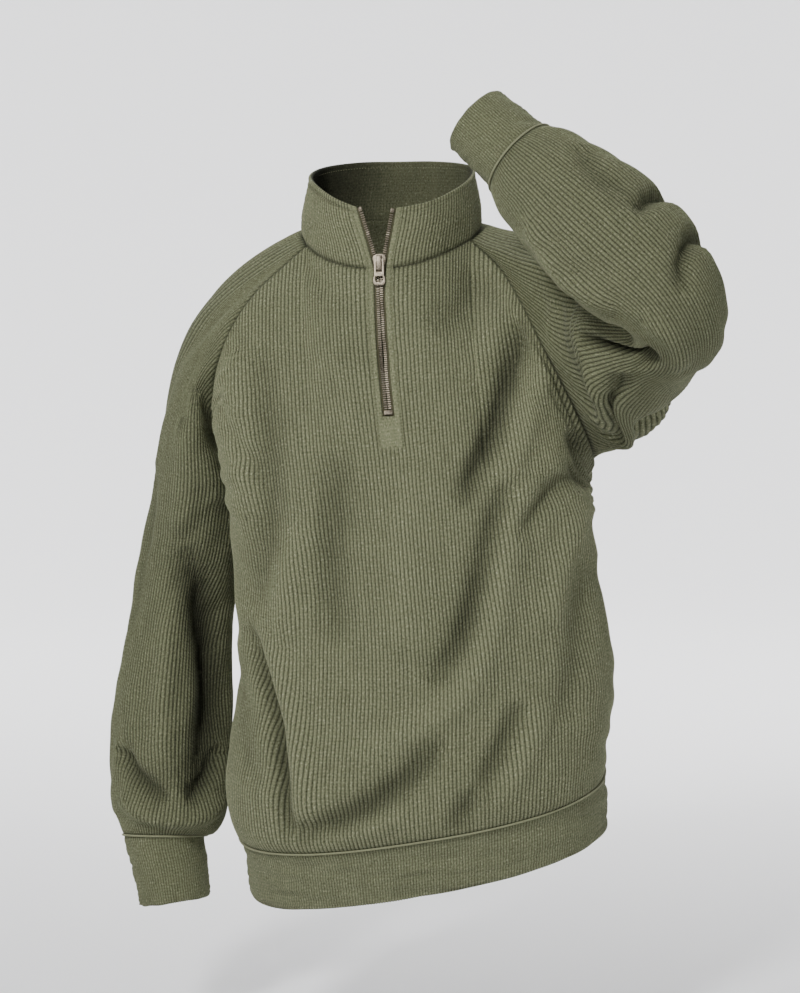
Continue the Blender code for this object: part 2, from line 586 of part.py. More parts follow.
# each fold: its line as share round the sleeve and length from the cuff's seam, half-width, height
HANGING_FOLDS = [
    ([(0.12, 240), (0.10, 150), (0.14, 75), (0.24, 28)], 18, -14),
    ([(0.27, 284), (0.15, 262), (0.03, 246)], 14, -8),
    ([(0.47, 90), (0.38, 52), (0.27, 30)], 14, -8),
    ([(0.34, 220), (0.31, 130), (0.29, 65)], 20, 6),
    ([(0.20, 20), (0.08, 40), (-0.04, 48)], 15, 7),
    ([(0.70, 285), (0.80, 240), (0.92, 215)], 15, -9),
    ([(0.58, 95), (0.70, 52), (0.86, 32)], 15, -9),
    ([(0.64, 200), (0.62, 130), (0.60, 70)], 20, 6),
    ([(0.30, 420), (0.20, 380), (0.08, 352)], 16, -6),
]
RAISED_FOLDS = [
    ([(0.30, 50), (0.36, 90), (0.34, 140)], 14, -6),
    ([(0.60, 45), (0.66, 80), (0.64, 130)], 14, -6),
    ([(0.85, 50), (0.90, 90), (0.88, 140)], 14, -6),
    ([(-0.06, 500), (-0.01, 560), (0.03, 585)], 18, 26),
]
SLEEVE_ROUND = 400.0    # millimetres round a sleeve, for the distances between folds
FOLD_SAMPLES = 24


def fold_heights(places, folds):
    """Sum of the soft folds at places of two coordinates in millimetres, on a grid (rows, columns, 2)."""
    total = np.zeros(places.shape[:2])
    steps = np.linspace(0, 1, FOLD_SAMPLES)
    fade = 1 - (2 * steps - 1)**4
    for line, half_width, height in folds:
        keys = run_lengths(np.array(line, float))
        samples = smooth(keys, line, steps * keys[-1])
        gaps = np.linalg.norm(places[:, :, None] - samples, axis=-1)
        nearest = gaps.argmin(axis=-1)
        closest = np.take_along_axis(gaps, nearest[..., None], axis=-1)[..., 0]
        total += height * fade[nearest] * np.exp(-(closest / half_width)**2)
    return total


def body_folds(grid):
    """Folds of a body grid: the front's before the widest line, the back's behind it."""
    places = grid[..., [0, 2]]
    back = np.clip((grid[..., 1] + 20) / 20, 0, 1)
    return (1 - back) * fold_heights(places, FRONT_FOLDS) + back * fold_heights(places, BACK_FOLDS)


def sleeve_folds(grid, folds):
    """Folds of a sleeve grid, by the share round it and the length from its cuff."""
    rows, columns = grid.shape[:2]
    steps = np.linalg.norm(np.diff(grid, axis=0), axis=-1)
    length = np.concatenate([np.zeros((1, columns)), np.cumsum(steps, axis=0)])
    share = np.broadcast_to(np.linspace(0, 1, columns), (rows, columns))
    total = np.zeros((rows, columns))
    for turn in (-1, 0, 1):
        places = np.stack([(share + turn) * SLEEVE_ROUND, length], axis=-1)
        lines = [([(at * SLEEVE_ROUND, reach) for at, reach in line], w, h) for line, w, h in folds]
        total += fold_heights(places, lines)
    return total


def end_fade(grid, low_reach, high_reach):
    """Share of the folds that is left near a grid's end rows, where they die out."""
    steps = np.linalg.norm(np.diff(grid, axis=0), axis=-1)
    length = np.concatenate([np.zeros((1, grid.shape[1])), np.cumsum(steps, axis=0)])
    share = np.clip(length / low_reach, 0, 1) * np.clip((length[-1] - length) / high_reach, 0, 1)
    return share**2 * (3 - 2 * share)


# ---------------------------------------------------------------- zip
# millimetres from the zip's middle, up the zip, and out from the cloth
ZIP_GAP = 0.15           # from the middle to each row of teeth
TEETH_WIDTH = 3.45
TEETH_DEPTHS = (-0.6, 1.0)
TAPE_DEPTHS = (-1.9, -0.9)
TAPE_END_GAP = 1.2       # from the slit's bottom to the tapes
TEETH_END_GAP = 8.2
STOP_HALF = 4.5
STOP_DEPTHS = (-0.3, 2.0)
STOP_ENDS = (1.6, 6.4)   # above the slit's bottom
TOP_STOP_LENGTH = 4.0
SLIDER_ABOVE_SEAM = 5.0
PLATE = [(-4.3, -11.0), (4.3, -11.0), (5.2, -9.5), (5.2, -3.0), (7.0, 4.5), (6.2, 8.0), (2.6, 9.5), (-2.6, 9.5),
         (-6.2, 8.0), (-7.0, 4.5), (-5.2, -3.0), (-5.2, -9.5)]
PLATE_DEPTHS = (2.4, 3.7)
BACK_PLATE_DEPTHS = (-3.9, -2.6)
FLANGE = (4.05, 5.15, -9.5, -3.0)      # inner and outer side, lower and upper end
FLANGE_DEPTH = 0.8
WEDGE = [(0.25, 3.0), (1.25, 7.4), (1.5, 9.2), (-1.5, 9.2), (-1.25, 7.4), (-0.25, 3.0)]
BRIDGE = [(8.0, 3.0), (8.0, 7.1), (6.5, 8.6), (-6.5, 8.6), (-8.0, 7.1), (-8.0, 3.0), (-6.8, 3.0), (-6.8, 6.7),
          (-6.1, 7.4), (6.1, 7.4), (6.8, 6.7), (6.8, 3.0)]
BRIDGE_HALF = 2.5
HINGE = (2.1, 5.6)                     # up the zip and out, of the pull tab's axis
TAB = [(-5.2, 3.4), (-5.2, -14.0), (-6.2, -17.5), (-6.2, -21.0), (-4.4, -23.5), (4.4, -23.5), (6.2, -21.0),
       (6.2, -17.5), (5.2, -14.0), (5.2, 3.4)]
TAB_THICKNESS = 1.6
TAB_WINDOW = [(-3.1, 0.9), (-3.1, -9.6), (3.1, -9.6), (3.1, 0.9)]
TAB_HOLE = [(-4.0, -14.2), (-4.0, -17.6), (-2.4, -20.3), (2.4, -20.3), (4.0, -17.6), (4.0, -14.2)]
TAB_LEAN = math.radians(-2.0)          # the hanging tab stands off by this from the slider's own plane


class Frame:
    """A place on the zip: across it to the left, up it, and out of the cloth, in millimetres."""

    def __init__(self, origin, up, out):
        self.origin = np.asarray(origin, float)
        self.up = unit(up)
        self.across = unit(np.cross(self.up, out))
        self.out = np.cross(self.across, self.up)

    def place(self, x, up, out):
        """World point of a place in the frame."""
        return self.origin + self.across * x + self.up * up + self.out * out


def prism(frame, outline, depths, plane):
    """Mesh over an outline drawn flat on the cloth or in its cross-section, through two depths."""
    build = bmesh.new()
    rings = []
    for depth in depths:
        ring = []
        for one, two in outline:
            point = frame.place(one, two, depth) if plane == "flat" else frame.place(depth, one, two)
            ring.append(build.verts.new((point * MM).tolist()))
        rings.append(ring)
    build.faces.new(rings[0])
    build.faces.new(rings[1][::-1])
    for k in range(len(outline)):
        after = (k + 1) % len(outline)
        build.faces.new((rings[0][k], rings[0][after], rings[1][after], rings[1][k]))
    bmesh.ops.recalc_face_normals(build, faces=build.faces)
    mesh = bpy.data.meshes.new("prism")
    build.to_mesh(mesh)
    build.free()
    return mesh


def combined(meshes, operations):
    """One mesh out of several, joined or cut in turn with exact booleans."""
    whole = bpy.data.objects.new("whole", meshes[0])
    bpy.context.scene.collection.objects.link(whole)
    others = []
    for mesh, operation in zip(meshes[1:], operations):
        other = bpy.data.objects.new("other", mesh)
        bpy.context.scene.collection.objects.link(other)
        others.append(other)
        step = whole.modifiers.new("step", "BOOLEAN")
        step.operation = operation
        step.solver = "EXACT"
        step.object = other
    graph = bpy.context.evaluated_depsgraph_get()
    made = bpy.data.meshes.new_from_object(whole.evaluated_get(graph))
    for thing in others + [whole]:
        bpy.data.objects.remove(thing)
    return made


def ribbon(name, edge, ways, normals, inner, outer, depths, material):
    """Bar beside a line of edge points: from `inner` to `outer` millimetres along the ways, through two depths."""
    corners = [(inner, depths[0]), (outer, depths[0]), (outer, depths[1]), (inner, depths[1])]
    points = np.stack([edge + ways * side + normals * depth for side, depth in corners], axis=1)
    count = len(edge)
    faces = [(0, 1, 2, 3), tuple(4 * (count - 1) + k for k in (3, 2, 1, 0))]
    for r in range(count - 1):
        for k in range(4):
            after = (k + 1) % 4
            faces.append((4 * r + k, 4 * r + 4 + k, 4 * r + 4 + after, 4 * r + after))
    mesh = bpy.data.meshes.new(name)
    mesh.from_pydata((points.reshape(-1, 3) * MM).tolist(), [], faces)
    build = bmesh.new()
    build.from_mesh(mesh)
    bmesh.ops.recalc_face_normals(build, faces=build.faces)
    build.to_mesh(mesh)
    build.free()
    return add_object(name, mesh, material)


class ZipEdge:
    """One side of the slit and of the collar's opening, from the slit's bottom to the collar's rim."""

    def __init__(self, points, normals, towards):
        self.points = points
        self.normals = normals
        self.run = run_lengths(points)
        ways = unit(np.cross(np.gradient(points, axis=0), normals))
        self.ways = ways * np.sign(np.sum(ways * (towards - points)))

    def stations(self, start, end):
        """Lengths from start to end with every row of the cloth between them."""
        rows = self.run[(self.run > start + 0.5) & (self.run < end - 0.5)]
        return np.concatenate([[start], rows, [end]])

    def at(self, lengths):
        """Points, directions to the middle and normals at lengths from the bottom."""
        def read(table):
            return np.stack([np.interp(lengths, self.run, table[:, k]) for k in range(3)], axis=-1)
        return read(self.points), unit(read(self.ways)), unit(read(self.normals))


# ---------------------------------------------------------------- materials
MATERIALS = {
    "knit": ((0.185, 0.192, 0.116), 0.0, 0.95),
    "rib_trim": ((0.160, 0.168, 0.098), 0.0, 0.95),
    "zip_tape": ((0.150, 0.145, 0.085), 0.0, 0.90),
    "zip_metal": ((0.290, 0.250, 0.180), 1.0, 0.38),
}


def make_material(name):
    """Principled material from the table's base colour, metallic and roughness."""
    colour, metallic, roughness = MATERIALS[name]
    made = bpy.data.materials.new(name)
    made.use_nodes = True
    shader = made.node_tree.nodes["Principled BSDF"]
    shader.inputs["Base Color"].default_value = (*colour, 1.0)
    shader.inputs["Metallic"].default_value = metallic
    shader.inputs["Roughness"].default_value = roughness
    return made


# ---------------------------------------------------------------- assembly
def build_body(knit):
    """Front and back over one ring of columns. Returns the front's grid and normals, and its slit row."""
    low, high = row_shares(BODY_LOW_ROWS, BODY_ROWS_UNDER_SLIT, BODY_ROWS_BESIDE_SLIT, SLIT_SHARE)
    front, back = body_grid(NECK_CELLS, NECK_CELLS, RAGLAN_CELLS, low, high)
    count = front.shape[1]
    ring = np.concatenate([front[:, :-1], back], axis=1)
    ring = ring + grid_normals(ring, True, 1) * (body_folds(ring) * end_fade(ring, 30, 40))[..., None]
    normals = grid_normals(ring, True, 1)
    normals[0] = loop_normals(ring[0])
    normals[-1] = seam_normals(ring[-1])
    front, back = ring[:, :count].copy(), ring[:, count - 1:].copy()
    front_normals, back_normals = normals[:, :count], normals[:, count - 1:]
    slit_row = BODY_LOW_ROWS + BODY_ROWS_UNDER_SLIT
    middle = count // 2
    neck = RAGLAN_CELLS + NECK_CELLS
    draw_back_row(front, front_normals, 0, [0, count - 1])
    draw_back_row(front, front_normals, len(front) - 1, [0, RAGLAN_CELLS, neck])
    draw_back_row(front, front_normals, len(front) - 1, [neck + 2, neck + 2 + NECK_CELLS, count - 1])
    draw_back_column(front, front_normals, 0)
    draw_back_column(front, front_normals, -1)
    last = back.shape[1] - 1
    draw_back_row(back, back_normals, 0, [0, last])
    draw_back_row(back, back_normals, len(back) - 1, [0, RAGLAN_CELLS, last - RAGLAN_CELLS, last])
    draw_back_column(back, back_normals, 0)
    draw_back_column(back, back_normals, -1)

    present = np.ones((len(front) - 1, (count - 1) // 2), bool)
    present[slit_row:, (middle - 1) // 2] = False
    heights = rib_heights(len(front), count, RIB_RISE)
    heights[slit_row:, middle - 3:middle] = PLACKET_RISE
    heights[slit_row:, middle + 1:middle + 4] = PLACKET_RISE
    cloth("front", front, front_normals, knit, WALL, RIB_RISE, False, heights, present)
    cloth("back", back, back_normals, knit, WALL, RIB_RISE, False)
    return front, front_normals, slit_row


def build_sleeve(side, tube_shares, cuff_shares, folds, sign, knit, trim):
    """A sleeve and its cuff, which share one ring of points at the cuff's seam."""
    cap_steps = np.linspace(0, 1, CAP_ROWS[side] + 1)
    grid = sleeve_grid(side, RAGLAN_CELLS, SHOULDER_CELLS, tube_shares, cap_steps)
    heights = sleeve_folds(grid, folds) * end_fade(grid, 18, 40)
    grid = grid + grid_normals(grid, True, sign) * heights[..., None]
    normals = grid_normals(grid, True, sign)
    normals[0] = loop_normals(grid[0])
    normals[-1] = seam_normals(grid[-1])
    columns = grid.shape[1]
    rings = hanging_rings if side == "right" else raised_rings
    cuff = rings(cuff_shares, np.linspace(0, 2 * math.pi, columns))
    cuff_normals = grid_normals(cuff, True, sign)
    cuff_normals[-1] = loop_normals(cuff[-1])
    top = [0, RAGLAN_CELLS, RAGLAN_CELLS + SHOULDER_CELLS, columns - 1]
    draw_back_row(grid, normals, len(grid) - 1, top, closed=True)
    draw_back_row(grid, normals, 0, [0, columns - 1])
    draw_back_row(cuff, cuff_normals, len(cuff) - 1, [0, columns - 1])
    for ring in (grid[0], cuff[-1]):
        ring[[0, -1]] = (ring[0] + ring[-1]) / 2
    cloth("sleeve_" + side, grid, normals, knit, WALL, RIB_RISE, True)
    cloth("cuff_" + side, cuff, cuff_normals, trim, BAND_WALL, FINE_RIB_RISE, True)


def build_waistband(trim):
    grid = band_grid(NECK_CELLS, NECK_CELLS, RAGLAN_CELLS, np.linspace(BAND_BOTTOM, BAND_SEAM, BAND_ROWS + 1))
    normals = grid_normals(grid, True, 1)
    normals[-1] = loop_normals(grid[-1])
    draw_back_row(grid, normals, len(grid) - 1, [0, grid.shape[1] - 1])
    grid[-1][[0, -1]] = (grid[-1][0] + grid[-1][-1]) / 2
    cloth("waistband", grid, normals, trim, BAND_WALL, FINE_RIB_RISE, True)


def build_collar(knit):
    """The collar. Returns its grid and normals."""
    grid = collar_grid(NECK_CELLS, SHOULDER_CELLS, NECK_CELLS, np.linspace(0, 1, COLLAR_ROWS + 1))
    normals = grid_normals(grid, False, -1)
    normals[0] = seam_normals(grid[0])
    columns = grid.shape[1]
    draw_back_row(grid, normals, 0, [0, columns - 1])
    heights = rib_heights(len(grid), columns, RIB_RISE)
    heights[:, [0, 1, -2, -1]] = PLACKET_RISE
    cloth("collar", grid, normals, knit, COLLAR_WALL, RIB_RISE, False, heights)
    return grid, normals


def build_zip(front, front_normals, slit_row, collar, collar_normals, tape, metal):
    """Tapes, rows of teeth, stops, slider and pull tab along the slit and the collar's edges."""
    middle = front.shape[1] // 2
    edges = {}
    for side, column, end in (("right", middle - 1, 0), ("left", middle + 1, -1)):
        points = np.concatenate([front[slit_row:, column], collar[1:, end]])
        normals = np.concatenate([front_normals[slit_row:, column], collar_normals[1:, end]])
        other = np.concatenate([front[slit_row:, 2 * middle - column], collar[1:, -1 - end]])
        edges[side] = ZipEdge(points, normals, (points + other) / 2)
    for side, edge in edges.items():
        end = edge.run[-1]
        inner = SLIT_HALF - ZIP_GAP
        lengths = edge.stations(TAPE_END_GAP, end - 1.0)
        ribbon("zip_tape_" + side, *edge.at(lengths), SEAM_GAP, inner, TAPE_DEPTHS, tape)
        lengths = edge.stations(TEETH_END_GAP, end - 2.0 - TOP_STOP_LENGTH)
        ribbon("zip_teeth_" + side, *edge.at(lengths), inner - TEETH_WIDTH, inner, TEETH_DEPTHS, metal)
        lengths = edge.stations(end - 1.5 - TOP_STOP_LENGTH, end - 1.5)
        ribbon("top_stop_" + side, *edge.at(lengths), inner - TEETH_WIDTH, inner, STOP_DEPTHS, metal)

    right, left = edges["right"], edges["left"]
    low_right, _, low_out = right.at(np.array([0.0, STOP_ENDS[1]]))
    low_left, _, _ = left.at(np.array([0.0, STOP_ENDS[1]]))
    base = (low_right + low_left) / 2
    frame = Frame(base[0], base[1] - base[0], low_out.mean(axis=0))
    outline = [(-STOP_HALF, STOP_ENDS[0]), (STOP_HALF, STOP_ENDS[0]), (STOP_HALF, STOP_ENDS[1]),
               (-STOP_HALF, STOP_ENDS[1])]
    add_object("bottom_stop", prism(frame, outline, STOP_DEPTHS, "flat"), metal)

    seam = right.run[len(front) - 1 - slit_row]
    spans = np.array([seam - 10.0, seam + SLIDER_ABOVE_SEAM, seam + SLIDER_ABOVE_SEAM + 9.0])
    on_right, _, out_right = right.at(spans)
    on_left, _, out_left = left.at(spans)
    line = (on_right + on_left) / 2
    frame = Frame(line[1], line[2] - line[0], (out_right + out_left).mean(axis=0))
    pieces = [prism(frame, PLATE, PLATE_DEPTHS, "flat"),
              prism(frame, PLATE, BACK_PLATE_DEPTHS, "flat"),
              prism(frame, WEDGE, (BACK_PLATE_DEPTHS[0] + 0.6, PLATE_DEPTHS[1] - 0.6), "flat"),
              prism(frame, BRIDGE, (-BRIDGE_HALF, BRIDGE_HALF), "section")]
    for sign in (-1, 1):
        flange = [(sign * FLANGE[0], FLANGE[2]), (sign * FLANGE[1], FLANGE[2]),
                  (sign * FLANGE[1], FLANGE[3]), (sign * FLANGE[0], FLANGE[3])]
        pieces.append(prism(frame, flange, (FLANGE_DEPTH, PLATE_DEPTHS[1] - 0.6), "flat"))
    add_object("slider", combined(pieces, ["UNION"] * (len(pieces) - 1)), metal)

    hinge = frame.place(0, *HINGE)
    hanging = Frame(hinge, frame.up * math.cos(TAB_LEAN) + frame.out * math.sin(TAB_LEAN),
                    frame.out * math.cos(TAB_LEAN) - frame.up * math.sin(TAB_LEAN))
    half = TAB_THICKNESS / 2
    shapes = []
    for outline, depth in ((TAB, half), (TAB_WINDOW, half + 1), (TAB_HOLE, half + 1)):
        moved = [(x, up - HINGE[0]) for x, up in outline]
        shapes.append(prism(hanging, moved, (-depth, depth), "flat"))
    tab_mesh = combined(shapes, ["DIFFERENCE", "DIFFERENCE"])
    tab_mesh.transform(mathutils.Matrix.Translation(-hinge * MM))
    tab = add_object("pull_tab", tab_mesh, metal)
    tab.location = hinge * MM


def main():
    for thing in list(bpy.data.objects):
        bpy.data.objects.remove(thing)
    knit, trim, tape, metal = (make_material(name) for name in MATERIALS)
    front, front_normals, slit_row = build_body(knit)
    run = run_lengths(HANGING[:, :3])
    cuff_share = run[CUFF_RING_HANGING] / run[-1]
    build_sleeve("right", np.linspace(cuff_share, 1, HANGING_TUBE_ROWS + 1), np.linspace(0, cuff_share, BAND_ROWS + 1),
                 HANGING_FOLDS, -1, knit, trim)
    start, end, _ = bend_shares()
    shares = np.concatenate([np.linspace(CUFF_SHARE_RAISED, start, FOREARM_ROWS + 1),
                             np.linspace(start, end, ELBOW_ROWS + 1)[1:],
                             np.linspace(end, 1, UPPER_ARM_ROWS + 1)[1:]])
    build_sleeve("left", shares, np.linspace(0, CUFF_SHARE_RAISED, BAND_ROWS + 1), RAISED_FOLDS, 1, knit, trim)
    build_waistband(trim)
    collar, collar_normals = build_collar(knit)
    build_zip(front, front_normals, slit_row, collar, collar_normals, tape, metal)


main()
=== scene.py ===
import json
import logging
import math
from collections.abc import Sequence
from dataclasses import dataclass, field
from enum import Enum

import bmesh
import bpy
import numpy as np
from mathutils import Matrix, Vector

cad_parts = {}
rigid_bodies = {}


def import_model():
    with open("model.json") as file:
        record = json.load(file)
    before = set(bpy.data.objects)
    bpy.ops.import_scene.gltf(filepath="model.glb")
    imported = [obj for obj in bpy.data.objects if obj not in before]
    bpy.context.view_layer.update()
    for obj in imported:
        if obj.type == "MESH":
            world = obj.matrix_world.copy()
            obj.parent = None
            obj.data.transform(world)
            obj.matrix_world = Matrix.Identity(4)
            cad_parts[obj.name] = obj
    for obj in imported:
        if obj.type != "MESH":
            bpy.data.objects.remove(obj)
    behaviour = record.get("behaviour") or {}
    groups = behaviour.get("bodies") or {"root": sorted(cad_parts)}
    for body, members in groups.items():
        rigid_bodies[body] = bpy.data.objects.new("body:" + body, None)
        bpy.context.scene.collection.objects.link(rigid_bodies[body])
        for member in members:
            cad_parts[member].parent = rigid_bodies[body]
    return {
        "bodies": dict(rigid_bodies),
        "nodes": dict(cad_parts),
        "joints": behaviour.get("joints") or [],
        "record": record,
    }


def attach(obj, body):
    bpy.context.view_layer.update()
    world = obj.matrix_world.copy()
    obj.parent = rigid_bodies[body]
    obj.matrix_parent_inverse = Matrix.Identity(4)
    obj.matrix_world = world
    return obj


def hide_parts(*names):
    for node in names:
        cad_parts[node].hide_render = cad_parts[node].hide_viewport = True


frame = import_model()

LOG = logging.getLogger("sweater")
MM = 0.001
SEAM_GAP_HALF = 0.15  # millimetres that each piece stays back from a seam
SHORTEST = 1e-12  # length under which a vector counts as this long
RIB_COLUMNS = 4  # columns of a grid to each rib
INSIDE_RIB = 0.35  # place between groove and crest that a wall's inside is painted at
LINE_POINTS = 240  # points read along a sleeve's middle line
MEASURE_POINTS = 200  # points that half a body ring is measured with
CORD_CORNERS = 8
SEAM_EGG_MIDDLE = (10.0, 0.0, -230.0)  # the egg whose directions the neck and armhole seams share
SEAM_EGG_HALVES = (220.0, 150.0, 400.0)
CROWD_SHARES = (0.3, 0.65)  # where the two rows of a crowded end lie in it
CROWD_CLEAR = 1.3  # crowded ends within which no even row is kept
FOLD_REACH = 2.6  # half-widths from its line at which a fold has died out
Array = np.ndarray


class Side(Enum):
    """The wearer's two sides."""

    RIGHT = "right"
    LEFT = "left"


class Face(Enum):
    """The two panels of the body."""

    FRONT = "front"
    BACK = "back"


# ---------------------------------------------------------------- curves and grids
def unit(vectors: Array) -> Array:
    """Vectors of length 1."""
    vectors = np.asarray(vectors, float)
    return vectors / np.maximum(np.linalg.norm(vectors, axis=-1, keepdims=True), SHORTEST)


def even_turns(count: int) -> Array:
    """Angles of evenly spaced corners round a circle."""
    return np.linspace(0, 2 * math.pi, count + 1)[:-1]


def softened(share: Array) -> Array:
    """Shares from 0 to 1, eased at both ends."""
    return share**2 * (3 - 2 * share)


def bell(distance: Array, width: float) -> Array:
    """1 on a line and falling softly to 0 away from it."""
    return np.exp(-(distance / width)**2)


def smooth(keys: Sequence[float], values: Array, at: Array) -> Array:
    """Reads a smooth curve through a table.

    Args:
        keys: Rising places of the table's rows.
        values: The table's rows.
        at: Places to read.

    Returns:
        One row for each place.
    """
    keys = np.asarray(keys, float)
    values = np.asarray(values, float).reshape(len(keys), -1)
    slopes = np.gradient(values, keys, axis=0)
    at = np.clip(np.atleast_1d(np.asarray(at, float)), keys[0], keys[-1])
    row = np.clip(np.searchsorted(keys, at, side="right") - 1, 0, len(keys) - 2)
    span = (keys[row + 1] - keys[row])[:, None]
    u = (at - keys[row])[:, None] / span
    return ((2 * u**3 - 3 * u**2 + 1) * values[row] + (u**3 - 2 * u**2 + u) * span * slopes[row]
            + (3 * u**2 - 2 * u**3) * values[row + 1] + (u**3 - u**2) * span * slopes[row + 1])


def run_lengths(points: Array) -> Array:
    """Length along a line of points, from its first point to each."""
    return np.concatenate([[0.0], np.cumsum(np.linalg.norm(np.diff(points, axis=0), axis=1))])


def read_at(run: Array, table: Array, at: Array) -> Array:
    """Rows of a table between its neighbours, read at lengths along a run."""
    return np.stack([np.interp(at, run, table[:, k]) for k in range(table.shape[1])], axis=-1)


def along(points: Array, shares: Array, dense: int = 400) -> Array:
    """Points at shares of the length of the smooth curve through a few points."""
    points = np.asarray(points, float)
    keys = run_lengths(points)
    fine = smooth(keys, points, np.linspace(0, keys[-1], dense))
    run = run_lengths(fine)
    return read_at(run, fine, np.asarray(shares, float) * run[-1])


def bezier(start: Array, start_way: Array, end: Array, end_way: Array, steps: Array,
           start_pull: float | Array = 1 / 3, end_pull: float | Array = 1 / 3) -> Array:
    """Cubic curves between two rows of points.

    Args:
        start: First points, one for each column.
        start_way: Directions in which the curves leave.
        end: Last points.
        end_way: Directions in which the curves arrive.
        steps: Shares of the curves to read, from 0 to 1.
        start_pull: Reach of the first handle, as a share of the distance.
        end_pull: Reach of the last handle.

    Returns:
        Points in the shape (steps, columns, 3).
    """
    reach = np.linalg.norm(end - start, axis=-1, keepdims=True)
    second = start + unit(start_way) * reach * start_pull
    third = end - unit(end_way) * reach * end_pull
    t = np.asarray(steps, float)[:, None, None]
    return (1 - t)**3 * start + 3 * (1 - t)**2 * t * second + 3 * (1 - t) * t**2 * third + t**3 * end


def grid_normals(grid: Array, closed: bool, sign: int) -> Array:
    """Directions square to a grid, outward where the sign fits the grid's turn."""
    if closed:
        wrapped = np.concatenate([grid[:, -2:-1], grid, grid[:, 1:2]], axis=1)
        across = wrapped[:, 2:] - wrapped[:, :-2]
    else:
        across = np.gradient(grid, axis=1)
    return unit(np.cross(across, np.gradient(grid, axis=0))) * sign


def loop_normals(loop: Array) -> Array:
    """Outward directions in the plane of a closed ring of points."""
    spokes = loop - loop[:-1].mean(axis=0)
    plane = unit(np.cross(spokes[:-1], spokes[1:]).sum(axis=0))
    around = np.concatenate([loop[-2:-1], loop, loop[1:2]])
    out = unit(np.cross(around[2:] - around[:-2], plane))
    return out * np.sign(np.sum(out * spokes, axis=-1).mean())


def seam_normals(points: Array) -> Array:
    """Outward directions that all pieces share where they meet at the neck and armhole seams."""
    return unit((points - np.array(SEAM_EGG_MIDDLE)) / np.array(SEAM_EGG_HALVES)**2)


def column_lengths(grid: Array) -> Array:
    """Length along each column of a grid, from its first row."""
    steps = np.linalg.norm(np.diff(grid, axis=0), axis=-1)
    return np.concatenate([np.zeros((1, grid.shape[1])), np.cumsum(steps, axis=0)])


def crowded_ends(count: int, first: float, last: float) -> Array:
    """Shares from 0 to 1 with extra rows close to the ends, where a seam dips.

    Args:
        count: Number of even steps.
        first: Share in which the extra rows at the start lie, or 0 for none.
        last: The same at the end.

    Returns:
        The rising shares.
    """
    shares = np.linspace(0, 1, count + 1)
    near, far = CROWD_SHARES
    if first:
        crowd = [0, first * near, first * far, first]
        shares = np.concatenate([crowd, shares[shares > first * CROWD_CLEAR]])
    if last:
        crowd = [1 - last, 1 - last * far, 1 - last * near, 1]
        shares = np.concatenate([shares[shares < 1 - last * CROWD_CLEAR], crowd])
    return shares


# ---------------------------------------------------------------- folds
@dataclass(frozen=True)
class Fold:
    """One soft fold: its line, its half-width and its height, under 0 for a trough, in millimetres."""

    line: tuple
    half_width: float
    height: float


def fold_heights(places: Array, folds: Sequence[Fold], samples: int = 32) -> Array:
    """Sum of soft folds at places of two coordinates.

    Args:
        places: Places in the shape (rows, columns, 2).
        folds: The folds, whose lines lie in the same two coordinates.
        samples: Points read along each fold's line.

    Returns:
        Heights in the shape (rows, columns).
    """
    total = np.zeros(places.shape[:2])
    steps = np.linspace(0, 1, samples)
    fade = 1 - (2 * steps - 1)**4
    for fold in folds:
        keys = run_lengths(np.array(fold.line, float))
        line = smooth(keys, fold.line, steps * keys[-1])
        reach = FOLD_REACH * fold.half_width
        low, high = line.min(axis=0) - reach, line.max(axis=0) + reach
        near = np.all((places > low) & (places < high), axis=-1)
        gaps = np.linalg.norm(places[near][:, None] - line, axis=-1)
        nearest = gaps.argmin(axis=-1)
        closest = gaps[np.arange(len(gaps)), nearest]
        total[near] += fold.height * fade[nearest] * bell(closest, fold.half_width)
    return total


def end_fade(grid: Array, low_reach: float, high_reach: float) -> Array:
    """Share of the folds that is left near a grid's end rows, where they die out."""
    length = column_lengths(grid)
    share = np.clip(length / low_reach, 0, 1) * np.clip((length[-1] - length) / high_reach, 0, 1)
    return softened(share)


def handling(rows: int, columns: int, rise: float, seed: int) -> Array:
    """Small uneven waves of worn cloth, smooth from point to point.

    Args:
        rows: Rows of the grid.
        columns: Columns of the grid.
        rise: Half the height of the waves in millimetres.
        seed: Start of the random numbers.

    Returns:
        Heights in the shape (rows, columns).
    """
    waves, across_range, up_range = 14, (2, 13), (2, 11)
    beat = 0.6  # how fast a wave swells and dies along the grid, as a share of its own turns
    usual_sum = 2.6
    chance = np.random.default_rng(seed)
    v, u = np.meshgrid(np.linspace(0, 1, rows), np.linspace(0, 1, columns), indexing="ij")
    total = np.zeros((rows, columns))
    for _ in range(waves):
        across, up = chance.integers(*across_range), chance.uniform(*up_range)
        phase, lean = chance.uniform(0, 2 * math.pi, 2)
        swell = np.sin(2 * math.pi * up * v * beat + lean)
        total += np.sin(2 * math.pi * (across * u + up * v) + phase) * swell
    return total * rise / usual_sum


@dataclass(frozen=True)
class Waves:
    """Waves of handling: half their height, their seed, and the reaches at both ends over which they die."""

    rise: float
    seed: int
    fade: tuple

    def on(self, grid: Array, closed: bool, sign: int, fold: Array | float = 0.0, shift: int = 0) -> Array:
        """Moves a grid out by its waves and folds.

        Args:
            grid: The grid.
            closed: Whether its last column is its first.
            sign: 1 or -1, as its columns turn.
            fold: Heights of its folds.
            shift: What is added to the seed.

        Returns:
            The moved grid.
        """
        waves = handling(*grid.shape[:2], self.rise, self.seed + shift) * end_fade(grid, *self.fade)
        return grid + grid_normals(grid, closed, sign) * (fold + waves)[..., None]


